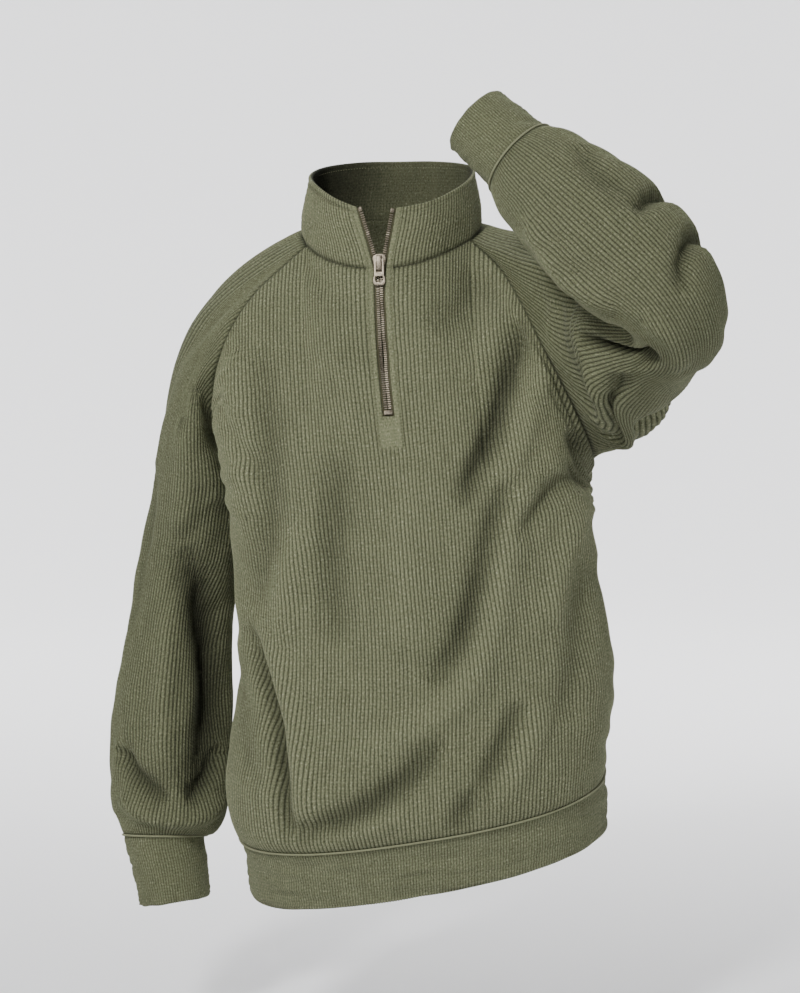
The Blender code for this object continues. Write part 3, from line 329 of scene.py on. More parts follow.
# ---------------------------------------------------------------- shells
@dataclass
class Shell:
    """A cloth wall between an outer grid and an inner one, both in millimetres.

    `present` marks the inner grid's cells that the wall has, all of them if None. `rib` holds each outer
    point's place between groove and crest, from which the finish paints shade into the grooves, `fold` the
    height of its folds, from which the finish paints shade into troughs and light onto crests, and
    `inner_painted_shade` a painted shade inside, given as a trough's depth.
    """

    name: str
    outer: Array
    inner: Array
    closed: bool
    sign: int
    present: Array | None = None
    rib: Array | None = None
    fold: Array | None = None
    pitch: float = 4.0
    inner_painted_shade: Array | None = None

    def build(self) -> bpy.types.Object:
        """Makes the shell's mesh with its UV map in metres of cloth and its rib and fold attributes.

        Returns:
            The object, at the origin.
        """
        rows, columns = self.outer.shape[:2]
        narrow = self.inner.shape[1]
        ratio = (columns - 1) // (narrow - 1)
        present = self.present if self.present is not None else np.ones((rows - 1, narrow - 1), bool)
        base = rows * columns
        out = np.arange(base).reshape(rows, columns)
        into = base + np.arange(rows * narrow).reshape(rows, narrow)

        def quads(ids: Array, mask: Array) -> Array:
            """Corners of a grid's cells that the mask keeps."""
            four = np.stack([ids[:-1, :-1], ids[:-1, 1:], ids[1:, 1:], ids[1:, :-1]], axis=-1)
            return four[mask]

        faces = quads(out, np.repeat(present, ratio, axis=1)).tolist()
        faces += quads(into, present)[:, ::-1].tolist()
        for r, c in zip(*np.nonzero(present)):
            a = c * ratio
            edge = list(range(a, a + ratio + 1))
            if r == 0 or not present[r - 1, c]:
                faces.append([into[r, c], into[r, c + 1]] + [out[r, k] for k in edge[::-1]])
            if r == rows - 2 or not present[r + 1, c]:
                faces.append([out[r + 1, k] for k in edge] + [into[r + 1, c + 1], into[r + 1, c]])
            if not self.closed and (c == 0 or not present[r, c - 1]):
                faces.append([out[r, a], out[r + 1, a], into[r + 1, c], into[r, c]])
            if not self.closed and (c == narrow - 2 or not present[r, c + 1]):
                faces.append([out[r, a + ratio], into[r, c + 1], into[r + 1, c + 1], out[r + 1, a + ratio]])
        if self.sign < 0:
            faces = [face[::-1] for face in faces]
        flat = np.concatenate([np.asarray(face) for face in faces])
        points = np.concatenate([self.outer.reshape(-1, 3), self.inner.reshape(-1, 3)]) * MM
        target = np.arange(len(points))
        if self.closed:
            target[out[:, -1]] = out[:, 0]
            target[into[:, -1]] = into[:, 0]
        used = np.unique(target[flat])
        final = np.zeros(len(points), int)
        final[used] = np.arange(len(used))
        mapped = final[target]
        mesh = bpy.data.meshes.new(self.name)
        mesh.from_pydata(points[used].tolist(), [], [mapped[face].tolist() for face in faces])

        column = np.arange(columns) * self.pitch / RIB_COLUMNS
        length = column_lengths(self.outer[:, ::ratio])
        cloth_u = np.concatenate([np.tile(column, rows), np.tile(column[::ratio], rows)])
        cloth_v = np.concatenate([self.spread(length, columns).reshape(-1), length.reshape(-1)])
        layer = mesh.uv_layers.new(name="cloth")
        layer.data.foreach_set("uv", (np.stack([cloth_u[flat], cloth_v[flat]], axis=-1) * MM).reshape(-1))
        for label, values in (("rib", self.rib), ("fold", self.fold)):
            table = np.zeros((rows, columns)) if values is None else values
            both = np.concatenate([table.reshape(-1), table[:, ::ratio].reshape(-1)])
            if label == "rib" and values is not None:
                both[base:] = INSIDE_RIB
            if label == "fold" and self.inner_painted_shade is not None:
                both[base:] = self.inner_painted_shade.reshape(-1)
            store = mesh.attributes.new(label, "FLOAT", "POINT")
            store.data.foreach_set("value", both[used])
        mesh.shade_smooth()
        made = bpy.data.objects.new(self.name, mesh)
        bpy.context.scene.collection.objects.link(made)
        return made

    @staticmethod
    def spread(table: Array, columns: int) -> Array:
        """Reads a table of few columns at many, between its neighbours."""
        places = np.linspace(0, table.shape[1] - 1, columns)
        left = np.minimum(places.astype(int), table.shape[1] - 2)
        share = places - left
        return table[:, left] * (1 - share) + table[:, left + 1] * share


@dataclass(frozen=True)
class RibKnit:
    """The relief of a rib knit."""

    pitch: float = 4.1
    rise: float = 1.25
    seam_dip: float = 1.1
    seam_reach: float = 2.6
    seam_flattening: float = 0.6
    # share by which the rib place drops on a seam: painted shade in the seam's dip
    seam_painted_shade: float = 0.7
    unevenness: float = 0.16
    profile: tuple = (0.0, 0.74, 1.0, 0.74)

    def heights(self, grid: Array, shift: int, low_seam: bool, high_seam: bool,
                seed: int) -> tuple[Array, Array]:
        """Heights of the ribs over a grid with RIB_COLUMNS columns to a rib.

        Args:
            grid: The cloth's grid.
            shift: Column at which the first groove lies.
            low_seam: Whether the first row dips into a seam.
            high_seam: Whether the last row does.
            seed: Start of the random numbers.

        Returns:
            The heights in millimetres, and the place on each rib from 0 in its groove to 1 on its crest,
            lowered near a seam; the finish paints shade into the grooves and the seam's dip from it.
        """
        rows, columns = grid.shape[:2]
        crest = np.tile(np.array(self.profile)[(np.arange(columns) - shift) % RIB_COLUMNS], (rows, 1))
        uneven = 1 + self.unevenness * handling(rows, columns, 1.0, seed)
        length = column_lengths(grid)
        seam = np.zeros_like(length)
        if low_seam:
            seam = np.maximum(seam, bell(length, self.seam_reach))
        if high_seam:
            seam = np.maximum(seam, bell(length[-1] - length, self.seam_reach))
        return self.sunk(crest * self.rise * uneven, seam), crest * (1 - self.seam_painted_shade * seam)

    def sunk(self, heights: Array, seam: Array) -> Array:
        """Heights flattened and drawn in by a seam's share at each point, which is 1 on the seam."""
        return heights * (1 - self.seam_flattening * seam) - self.seam_dip * seam


# ---------------------------------------------------------------- forms
@dataclass(frozen=True)
class TorsoForm:
    """Rings and seam lines of the body, in millimetres.

    `half_length` is about the length of half a ring at the slit, `ring_step` how far below the top ring the
    slope of its wall is read, and `neck_key` the place in `top_ways` at which the neck line ends.
    """

    band_seam: float = -600.0
    band_bottom: float = -657.0
    top_ring: float = -290.0
    slit_half: float = 6.0
    slit_share: float = 0.41
    half_length: float = 500.0
    ring_step: float = 31.0
    ring_points: int = 721
    neck_key: float = 0.3
    columns: tuple = ("middle", "right", "left", "wide", "front", "back", "nf", "nb", "tilt_x", "tilt_y")
    rings: tuple = (
        (-675, 38, -148, 228, -10, -128, 108, 2.4, 2.2, 0.195, 0.17),
        (-635, 37, -152, 229, -10, -138, 116, 2.4, 2.2, 0.190, 0.16),
        (-608, 36, -156, 227, -12, -144, 122, 2.4, 2.2, 0.180, 0.14),
        (-585, 35, -168, 226, -14, -157, 132, 2.4, 2.2, 0.158, 0.12),
        (-555, 33, -173, 229, -18, -158, 132, 2.4, 2.2, 0.120, 0.09),
        (-520, 32, -168, 233, -24, -153, 126, 2.4, 2.1, 0.070, 0.05),
        (-460, 32, -161, 234, -30, -148, 118, 2.4, 2.0, 0.040, 0.02),
        (-400, 29, -158, 226, -34, -145, 112, 2.4, 2.0, 0.020, 0.00),
        (-340, 24, -162, 217, -34, -143, 112, 2.4, 2.0, 0.000, 0.00),
        (-290, 20, -168, 212, -32, -142, 116, 2.4, 2.0, 0.000, 0.00),
        (-250, 16, -174, 212, -30, -141, 119, 2.4, 2.0, 0.000, 0.00),
    )
    seam_share: dict = field(default_factory=lambda: {Side.RIGHT: 0.60, Side.LEFT: 0.52})
    corner_share: dict = field(default_factory=lambda: {
        (Face.FRONT, Side.RIGHT): 0.164, (Face.FRONT, Side.LEFT): 0.180,
        (Face.BACK, Side.RIGHT): 0.170, (Face.BACK, Side.LEFT): 0.170})
    neck: dict = field(default_factory=lambda: {
        (Face.FRONT, Side.RIGHT): ((-5, -82, -36), (-38, -76, -33), (-70, -54, -23), (-87, -32, -12)),
        (Face.FRONT, Side.LEFT): ((-5, -82, -36), (28, -78, -31), (62, -58, -19), (85, -32, -6)),
        (Face.BACK, Side.RIGHT): ((0, 74, 16), (-30, 70, 15), (-58, 58, 13), (-80, 38, 10)),
        (Face.BACK, Side.LEFT): ((0, 74, 16), (30, 70, 16), (58, 58, 15), (80, 38, 14))})
    neck_side: dict = field(default_factory=lambda: {
        Side.RIGHT: ((-87, -32, -12), (-94, -4, 0), (-91, 18, 6), (-80, 38, 10)),
        Side.LEFT: ((85, -32, -6), (93, -4, 5), (90, 18, 11), (80, 38, 14))})
    raglan: dict = field(default_factory=lambda: {
        (Face.FRONT, Side.RIGHT): ((-87, -32, -12), (-112, -50, -36), (-134, -66, -58), (-155, -76, -88),
                                   (-170, -76, -120), (-180, -58, -156), (-174, -18, -196), (-150, 34, -226)),
        (Face.FRONT, Side.LEFT): ((85, -32, -6), (116, -58, -34), (140, -88, -70), (162, -106, -112),
                                  (186, -100, -158), (207, -64, -206), (214, -12, -236)),
        (Face.BACK, Side.RIGHT): ((-80, 38, 10), (-110, 66, -24), (-136, 88, -66), (-152, 98, -116),
                                  (-157, 84, -170), (-150, 34, -226)),
        (Face.BACK, Side.LEFT): ((80, 38, 14), (112, 66, -18), (144, 88, -58), (172, 92, -108),
                                 (200, 66, -172), (214, -12, -236))})
    top_ways: dict = field(default_factory=lambda: {
        Face.FRONT: ((0.0, (0.0, 0.17, 0.985)), (0.3, (0.0, 0.62, 0.78)), (0.55, (0.0, 0.45, 0.88)),
                     (0.8, (0.0, 0.22, 0.95)), (1.0, (0.0, 0.0, 1.0))),
        Face.BACK: ((0.0, (0.0, -0.36, 0.93)), (0.3, (0.0, -0.60, 0.80)), (0.55, (0.0, -0.35, 0.93)),
                    (0.8, (0.0, -0.15, 0.98)), (1.0, (0.0, 0.0, 1.0)))})

    def half_ring(self, height: float, side: Side, shares: Array) -> Array:
        """Points on one half of a body ring.

        Args:
            height: The ring's height.
            side: Which half.
            shares: Shares of its length, from the front middle to the back middle.

        Returns:
            One point for each share.
        """
        table = np.array(self.rings, float)
        row = dict(zip(self.columns, smooth(table[:, 0], table[:, 1:], [height])[0]))
        turn = np.linspace(0, math.pi, self.ring_points)
        front = turn < math.pi / 2
        power = 2 / np.where(front, row["nf"], row["nb"])
        depth = np.where(front, row["wide"] - row["front"], row["back"] - row["wide"])
        x = row["middle"] + (row[side.value] - row["middle"]) * np.sin(turn)**power
        y = row["wide"] - depth * np.sign(np.cos(turn)) * np.abs(np.cos(turn))**power
        run = run_lengths(np.stack([x, y], axis=-1))
        at = np.asarray(shares, float) * run[-1]
        px, py = np.interp(at, run, x), np.interp(at, run, y)
        rise = row["tilt_x"] * (px - (row["right"] + row["left"]) / 2)
        rise = rise + row["tilt_y"] * (py - (row["front"] + row["back"]) / 2)
        return np.stack([px, py, height + rise], axis=-1)

    def shares(self, face: Face, side: Side, neck_cells: int, raglan_cells: int, slit_cells: int) -> tuple:
        """Shares of the ring and of the neck line at a panel's columns.

        Args:
            face: Front or back.
            side: Which half.
            neck_cells: Columns over the neck line.
            raglan_cells: Columns over the raglan seam.
            slit_cells: Columns over half the slit, on the front.

        Returns:
            The shares of the ring and those of the neck line, from the middle outward.
        """
        corner, seam = self.corner_share[face, side], self.seam_share[side]
        if face is Face.BACK:
            seam = 1 - seam
        ring, neck = np.linspace(0, corner, neck_cells + 1), np.linspace(0, 1, neck_cells + 1)
        if face is Face.FRONT:
            first = self.slit_half / run_lengths(np.array(self.neck[face, side], float))[-1]
            slit = self.slit_half / self.half_length
            ring, neck = (np.concatenate([np.linspace(0, edge, slit_cells + 1)[:-1],
                                          np.linspace(edge, end, neck_cells + 1)])
                          for edge, end in ((slit, corner), (first, 1)))
        ring = np.concatenate([ring, np.linspace(corner, seam, raglan_cells + 1)[1:]])
        return (ring if face is Face.FRONT else 1 - ring), neck

    def panel_half(self, face: Face, side: Side, neck_cells: int, raglan_cells: int, slit_cells: int,
                   low: Array, high: Array) -> Array:
        """Grid of one half of a panel, from its middle to the side seam: (rows, columns, 3)."""
        ring_at, neck_at = self.shares(face, side, neck_cells, raglan_cells, slit_cells)
        side_line = along(self.raglan[face, side], np.linspace(0, 1, raglan_cells + 1)[1:])
        top = np.concatenate([along(self.neck[face, side], neck_at), side_line])
        rings = np.stack([self.half_ring(height, side, ring_at) for height in low])
        before = self.half_ring(low[-1] - self.ring_step, side, ring_at)
        keys = np.concatenate([np.linspace(0, self.neck_key, len(neck_at)),
                               np.linspace(self.neck_key, 1, raglan_cells + 1)[1:]])
        ways = self.top_ways[face]
        end_way = smooth([k for k, _ in ways], [w for _, w in ways], keys)
        return np.concatenate([rings, bezier(rings[-1], rings[-1] - before, top, end_way, high[1:])])


FRONT_FOLDS = (
    Fold(((146, -78), (136, -108), (124, -158), (111, -204), (95, -242), (84, -280)), 12, -17),
    Fold(((182, -104), (160, -158), (143, -208), (124, -258)), 12, 9),
    Fold(((132, -240), (114, -310), (99, -365), (80, -418), (52, -458)), 15, -15),
    Fold(((162, -222), (128, -310), (108, -420), (80, -472), (30, -506), (-30, -535)), 17, 11),
    Fold(((70, -512), (28, -551), (-24, -588), (-92, -617)), 14, -14),
    Fold(((34, -580), (-20, -606), (-70, -622)), 10, 5),
    Fold(((98, -560), (86, -588), (72, -614)), 12, -10),
    Fold(((146, -474), (128, -515), (100, -568)), 13, -10),
    Fold(((168, -470), (152, -520), (128, -572)), 13, 7),
    Fold(((-144, -398), (-127, -445), (-109, -500), (-99, -577), (-93, -626)), 9, -16),
    Fold(((-158, -430), (-148, -500), (-130, -575)), 16, -5),
    Fold(((-122, -405), (-95, -480), (-80, -560), (-74, -605)), 12, 10),
    Fold(((158, -96), (166, -120), (178, -150), (192, -190), (206, -226)), 9, -6),
    Fold(((196, -196), (206, -236), (208, -265)), 12, -12),
    Fold(((-156, -119), (-154, -190), (-142, -293)), 18, 8),
    Fold(((-128, -110), (-116, -220), (-122, -330), (-140, -392)), 18, -8),
    Fold(((-78, -285), (-94, -350), (-100, -420)), 14, 7),
    Fold(((-40, -215), (-46, -290), (-50, -352), (-40, -420)), 19, -9),
    Fold(((44, -232), (30, -330), (34, -430)), 22, 7),
    Fold(((100, -36), (84, -64), (52, -100)), 18, -5),
    Fold(((140, -60), (112, -104), (84, -150)), 16, 4),
    Fold(((-172, -160), (-150, -208), (-122, -258)), 9, -6),
    Fold(((200, -238), (165, -268), (138, -312)), 11, -9),
    Fold(((208, -270), (186, -330), (172, -400)), 13, 7),
    Fold(((206, -330), (200, -420), (186, -500)), 14, -7),
)
BACK_FOLDS = (
    Fold(((150, -150), (90, -260), (30, -380)), 26, -8),
    Fold(((-130, -170), (-90, -260), (-60, -380)), 26, -6),
    Fold(((100, -400), (40, -480), (-60, -545)), 26, 8),
    Fold(((-120, -420), (-90, -500), (-40, -565)), 20, -8),
    Fold(((60, -90), (40, -180), (0, -260)), 28, 6),
    Fold(((170, -320), (150, -420), (110, -510)), 22, -8),
    Fold(((-20, -330), (-25, -430), (-20, -520)), 24, 5),
)


@dataclass(frozen=True)
class HangingForm:
    """The hanging sleeve's middle line and widths, and folds by share round it and length from its cuff."""

    side: Side = Side.RIGHT
    sign: int = -1
    cuff_row: int = 2
    first_cross: tuple = (1.0, -0.15, 0.0)
    rings_table: tuple = (
        (-240, 26, -723, 38, 36),
        (-246, 30, -685, 41, 39),
        (-252, 34, -653, 45, 43),
        (-250, 38, -633, 60, 54),
        (-247, 43, -597, 65, 60),
        (-247, 50, -552, 65, 62),
        (-245, 55, -505, 63, 61),
        (-241, 60, -455, 58, 58),
        (-235.5, 62, -405, 54.5, 57),
        (-226, 63, -355, 55, 60),
        (-215.5, 60, -310, 54.5, 68),
        (-205, 52, -262, 54, 76),
    )
    cap_ways: tuple = (
        (0.0, (0.5, -0.3, 0.8)), (0.12, (0.75, -0.35, 0.6)), (0.3, (0.8, -0.1, 0.6)),
        (0.44, (0.88, 0.1, 0.46)), (0.5, (0.93, 0.0, 0.37)), (0.56, (0.88, -0.1, 0.46)),
        (0.7, (0.8, 0.1, 0.6)), (0.88, (0.75, 0.1, 0.6)), (1.0, (0.5, -0.3, 0.8)))
    cap_pulls: tuple = ((0.0, 0.3, 0.4), (0.3, 0.3, 0.4), (0.46, 0.3, 0.55), (0.56, 0.3, 0.45),
                        (0.66, 0.3, 0.4), (1.0, 0.3, 0.4))
    plain_strip: Fold | None = None
    folds: tuple = (
        Fold(((0.228, 320), (0.155, 262), (0.10, 200), (0.09, 140), (0.11, 90), (0.165, 44)), 20, -19),
        Fold(((0.14, 300), (0.06, 225), (0.03, 150), (0.04, 95)), 18, -10),
        Fold(((0.37, 102), (0.28, 62), (0.20, 42)), 10, -14),
        Fold(((0.165, 42), (0.085, 70), (0.03, 108)), 10, -12),
        Fold(((0.36, 44), (0.25, 24), (0.12, 26), (0.0, 52)), 9, 10),
        Fold(((0.240, 250), (0.225, 160), (0.215, 74)), 13, 9),
        Fold(((0.42, 420), (0.38, 320), (0.40, 220)), 16, -6),
        Fold(((0.26, 470), (0.24, 390), (0.24, 330)), 18, 7),
        Fold(((0.70, 285), (0.80, 240), (0.92, 215)), 15, -9),
        Fold(((0.58, 95), (0.70, 52), (0.86, 32)), 15, -9),
        Fold(((0.64, 200), (0.62, 130), (0.60, 70)), 20, 6),
        Fold(((0.20, 500), (0.18, 440), (0.14, 370)), 20, 7))

    def cuff_share(self) -> float:
        """Share of the middle line at the cuff's seam."""
        run = run_lengths(np.array(self.rings_table, float)[:, :3])
        return float(run[self.cuff_row] / run[-1])

    def rings(self, shares: Array, turns: Array) -> Array:
        """Rings at shares of the middle line from the cuff's end: (rings, turns, 3)."""
        table = np.array(self.rings_table, float)
        run = run_lengths(table[:, :3])
        dense = np.linspace(0, 1, LINE_POINTS)
        ways = np.gradient(smooth(run, table[:, :3], dense * run[-1]), axis=0)
        one = unit(read_at(dense, turned_frames(ways, self.first_cross), shares))
        rows = smooth(run, table, np.asarray(shares) * run[-1])
        spokes = spokes_round(read_at(dense, ways, shares), one, self.sign, rows[:, 3:], turns)
        return rows[:, None, :3] + spokes


@dataclass(frozen=True)
class RaisedForm:
    """The raised sleeve: a forearm, a tight bend and an upper arm, with their widths and folds."""

    side: Side = Side.LEFT
    sign: int = 1
    cuff_end: tuple = (98.0, -165.0, 111.0)
    forearm_way: tuple = (-0.715, 0.30, 0.625)
    upper_way: tuple = (0.50, -0.85, 0.02)
    forearm_length: float = 240.0
    elbow_radius: float = 44.0
    upper_length: float = 50.0
    seam_share: float = 0.16
    last_cross: tuple = (0.15, 0.1, -1.0)
    line_points: tuple = (60, 60, 40)
    crook_gap: float = 7.0
    crook_opening: float = 0.28
    crook_softness: float = 4.0
    widths: tuple = ((0.00, 36, 36), (0.08, 39, 38), (0.16, 42, 41), (0.20, 48, 49), (0.28, 56, 56),
                     (0.38, 62, 63), (0.50, 62, 66), (0.60, 56, 63), (0.70, 46, 52), (0.80, 42, 46),
                     (0.90, 52, 54), (1.00, 74, 72))
    cap_ways: tuple = (
        (0.0, (-0.30, 0.45, -0.75)), (0.05, (-0.8, 0.3, 0.1)), (0.10, (-0.80, 0.1, 0.45)),
        (0.2, (-0.72, 0.12, 0.62)), (0.3, (-0.7, 0.3, 0.6)), (0.44, (-0.8, 0.5, 0.35)),
        (0.5, (-0.93, 0.2, 0.25)), (0.56, (-0.9, -0.2, 0.35)), (0.7, (-0.95, 0.0, 0.2)),
        (0.88, (-0.8, 0.1, -0.4)), (1.0, (-0.30, 0.45, -0.75)))
    cap_pulls: tuple = ((0.0, 0.45, 0.4), (0.05, 0.4, 0.7), (0.12, 0.25, 1.0), (0.22, 0.2, 1.15),
                        (0.32, 0.22, 0.8), (0.42, 0.3, 0.4), (1.0, 0.3, 0.4))
    plain_strip: Fold = Fold(
        ((0.15, 70), (0.16, 95), (0.195, 132), (0.222, 180), (0.212, 226), (0.19, 262)), 8.0, 1.0)
    folds: tuple = (
        Fold(((0.30, 50), (0.36, 90), (0.34, 140)), 14, -6),
        Fold(((0.60, 45), (0.66, 80), (0.64, 130)), 14, -6),
        Fold(((0.85, 50), (0.90, 90), (0.88, 140)), 14, -6),
        Fold(((0.68, 152), (0.80, 140), (0.92, 146)), 9, -14),
        Fold(((0.68, 206), (0.80, 196), (0.90, 208), (0.97, 232)), 9, -14),
        Fold(((0.10, 60), (0.16, 120), (0.14, 190)), 16, 8),
        Fold(((0.275, 287), (0.25, 262), (0.197, 248), (0.12, 290)), 9, -17),
        Fold(((0.165, 308), (0.112, 372), (0.115, 425), (0.098, 478)), 6, -10),
        Fold(((0.20, 315), (0.148, 375), (0.148, 425), (0.13, 470)), 7, 7),
        Fold(((0.37, 322), (0.285, 362), (0.165, 465), (0.095, 500)), 8, 7),
        Fold(((0.10, 215), (0.06, 262), (0.03, 320)), 12, 8),
        Fold(((0.48, 210), (0.50, 280), (0.44, 350)), 18, -8),
        Fold(((-0.06, 500), (-0.01, 560), (0.03, 585)), 18, 26))

    def cuff_share(self) -> float:
        """Share of the middle line at the cuff's seam."""
        return self.seam_share

    def elbow(self) -> tuple[Array, Array, float]:
        """The bend's pivot, the way from the forearm to it, and its angle."""
        to_cuff, to_elbow = unit(self.forearm_way), unit(self.upper_way)
        inner = unit(-to_elbow - np.dot(-to_elbow, to_cuff) * to_cuff)
        pivot = np.array(self.cuff_end) - to_cuff * self.forearm_length + inner * self.elbow_radius
        return pivot, inner, math.pi - math.acos(np.dot(to_cuff, -to_elbow))

    def middle_line(self, shares: Array) -> Array:
        """Points at shares of the middle line's length, from the cuff's end to the armhole."""
        to_cuff, to_elbow = unit(self.forearm_way), unit(self.upper_way)
        pivot, inner, turn = self.elbow()
        forearm_points, bend_points, upper_points = self.line_points
        angles = np.linspace(0, turn, bend_points)[:, None]
        arc = pivot + self.elbow_radius * (-inner * np.cos(angles) - to_cuff * np.sin(angles))
        straight = self.cuff_end - to_cuff * np.linspace(0, self.forearm_length, forearm_points)[:, None]
        upper = arc[-1] - to_elbow * np.linspace(0, self.upper_length, upper_points)[:, None]
        line = np.concatenate([straight, arc[1:], upper[1:]])
        run = run_lengths(line)
        return read_at(run, line, np.asarray(shares) * run[-1])

    def rings(self, shares: Array, turns: Array) -> Array:
        """Rings at shares of the middle line, kept clear of the pivot inside the elbow: (rings, turns, 3)."""
        dense = np.linspace(0, 1, LINE_POINTS)
        ways = np.gradient(self.middle_line(dense), axis=0)
        cross = turned_frames(ways[::-1], self.last_cross)[::-1]
        ways, one = read_at(dense, ways, shares), unit(read_at(dense, cross, shares))
        table = np.array(self.widths, float)
        spokes = spokes_round(ways, one, self.sign, smooth(table[:, 0], table[:, 1:], shares), turns)
        middle = self.middle_line(shares)
        pivot, inner, turn = self.elbow()
        bend = self.elbow_radius * turn
        whole = self.forearm_length + bend + self.upper_length
        start, end = self.forearm_length / whole, (self.forearm_length + bend) / whole
        to_pivot = unit(np.cross(unit(np.cross(inner, self.forearm_way)), unit(ways)))
        to_pivot *= np.sign(np.sum(to_pivot * (pivot - middle), axis=-1))[:, None]
        away = np.maximum(np.maximum(start - shares, shares - end), 0) * whole
        limit = (self.elbow_radius - self.crook_gap + away * self.crook_opening)[:, None]
        reach = np.sum(spokes * to_pivot[:, None], axis=-1)
        kept = limit - self.crook_softness * np.log1p(np.exp((limit - reach) / self.crook_softness))
        return middle[:, None] + spokes + (kept - reach)[..., None] * to_pivot[:, None]


def turned_frames(ways: Array, first: Sequence[float]) -> Array:
    """Cross directions carried along a line of ways without twist, starting from the direction `first`."""
    ways = unit(ways)
    cross = [unit(np.asarray(first, float) - np.dot(first, ways[0]) * ways[0])]
    for before, after in zip(ways, ways[1:]):
        axis = np.cross(before, after)
        turned = cross[-1] + np.cross(axis, cross[-1]) + np.cross(axis, np.cross(axis, cross[-1])) / 2
        cross.append(unit(turned - np.dot(turned, after) * after))
    return np.array(cross)


def spokes_round(ways: Array, one: Array, over: int, widths: Array, turns: Array) -> Array:
    """Ring points less the ring's middle.

    Args:
        ways: Direction of the middle line at each ring.
        one: First cross direction of each ring.
        over: Sign of the second cross direction.
        widths: Half-widths along the two cross directions.
        turns: Angles round the ring.

    Returns:
        Spokes in the shape (rings, turns, 3).
    """
    two = np.cross(unit(ways), one) * over
    c, s = np.cos(turns)[None, :, None], np.sin(turns)[None, :, None]
    return widths[:, None, :1] * one[:, None] * c + widths[:, None, 1:2] * two[:, None] * s


# ---------------------------------------------------------------- cloth pieces
def blend_ends(normals: Array, grid: Array, low: Array | None, high: Array | None,
               reach: float = 7.0) -> Array:
    """Turns a grid's normals softly to those of its seams.

    Args:
        normals: The grid's own normals.
        grid: The grid.
        low: Normals of the first row's seam, or None.
        high: Normals of the last row's seam, or None.
        reach: Distance over which they turn, in millimetres.

    Returns:
        The blended normals.
    """
    length = column_lengths(grid)
    for seam, distance in ((low, length), (high, length[-1] - length)):
        if seam is not None:
            share = softened(np.clip(1 - distance / reach, 0, 1)[..., None])
            normals = unit(normals * (1 - share) + seam * share)
    return normals


def folded_edge(distance: Array, radius: float) -> Array:
    """How far a wall's face draws in beside a folded edge, at distances from it."""
    inside = np.clip(radius - distance, 0, radius)
    return radius - np.sqrt(np.maximum(radius**2 - inside**2, 0))


def double_band(name: str, grid: Array, sign: int, trim: RibKnit, wall: float, seed: int) -> bpy.types.Object:
    """Makes a double band of fine rib, folded at the grid's first row and sewn on at its last.

    Args:
        name: Name of the object.
        grid: The band's closed grid.
        sign: 1 or -1, as its columns turn.
        trim: The band's knit.
        wall: Thickness of both layers.
        seed: Start of the random numbers.

    Returns:
        The object.
    """
    normals = blend_ends(grid_normals(grid, True, sign), grid, None, loop_normals(grid[-1]))
    heights, rib = trim.heights(grid, 0, False, True, seed)
    edge = folded_edge(column_lengths(grid), wall / 2)
    outer = grid + normals * (heights - edge)[..., None]
    inner = (grid - normals * (wall - edge)[..., None])[:, ::RIB_COLUMNS]
    return Shell(name, outer, inner, True, sign, None, rib, None, trim.pitch).build()


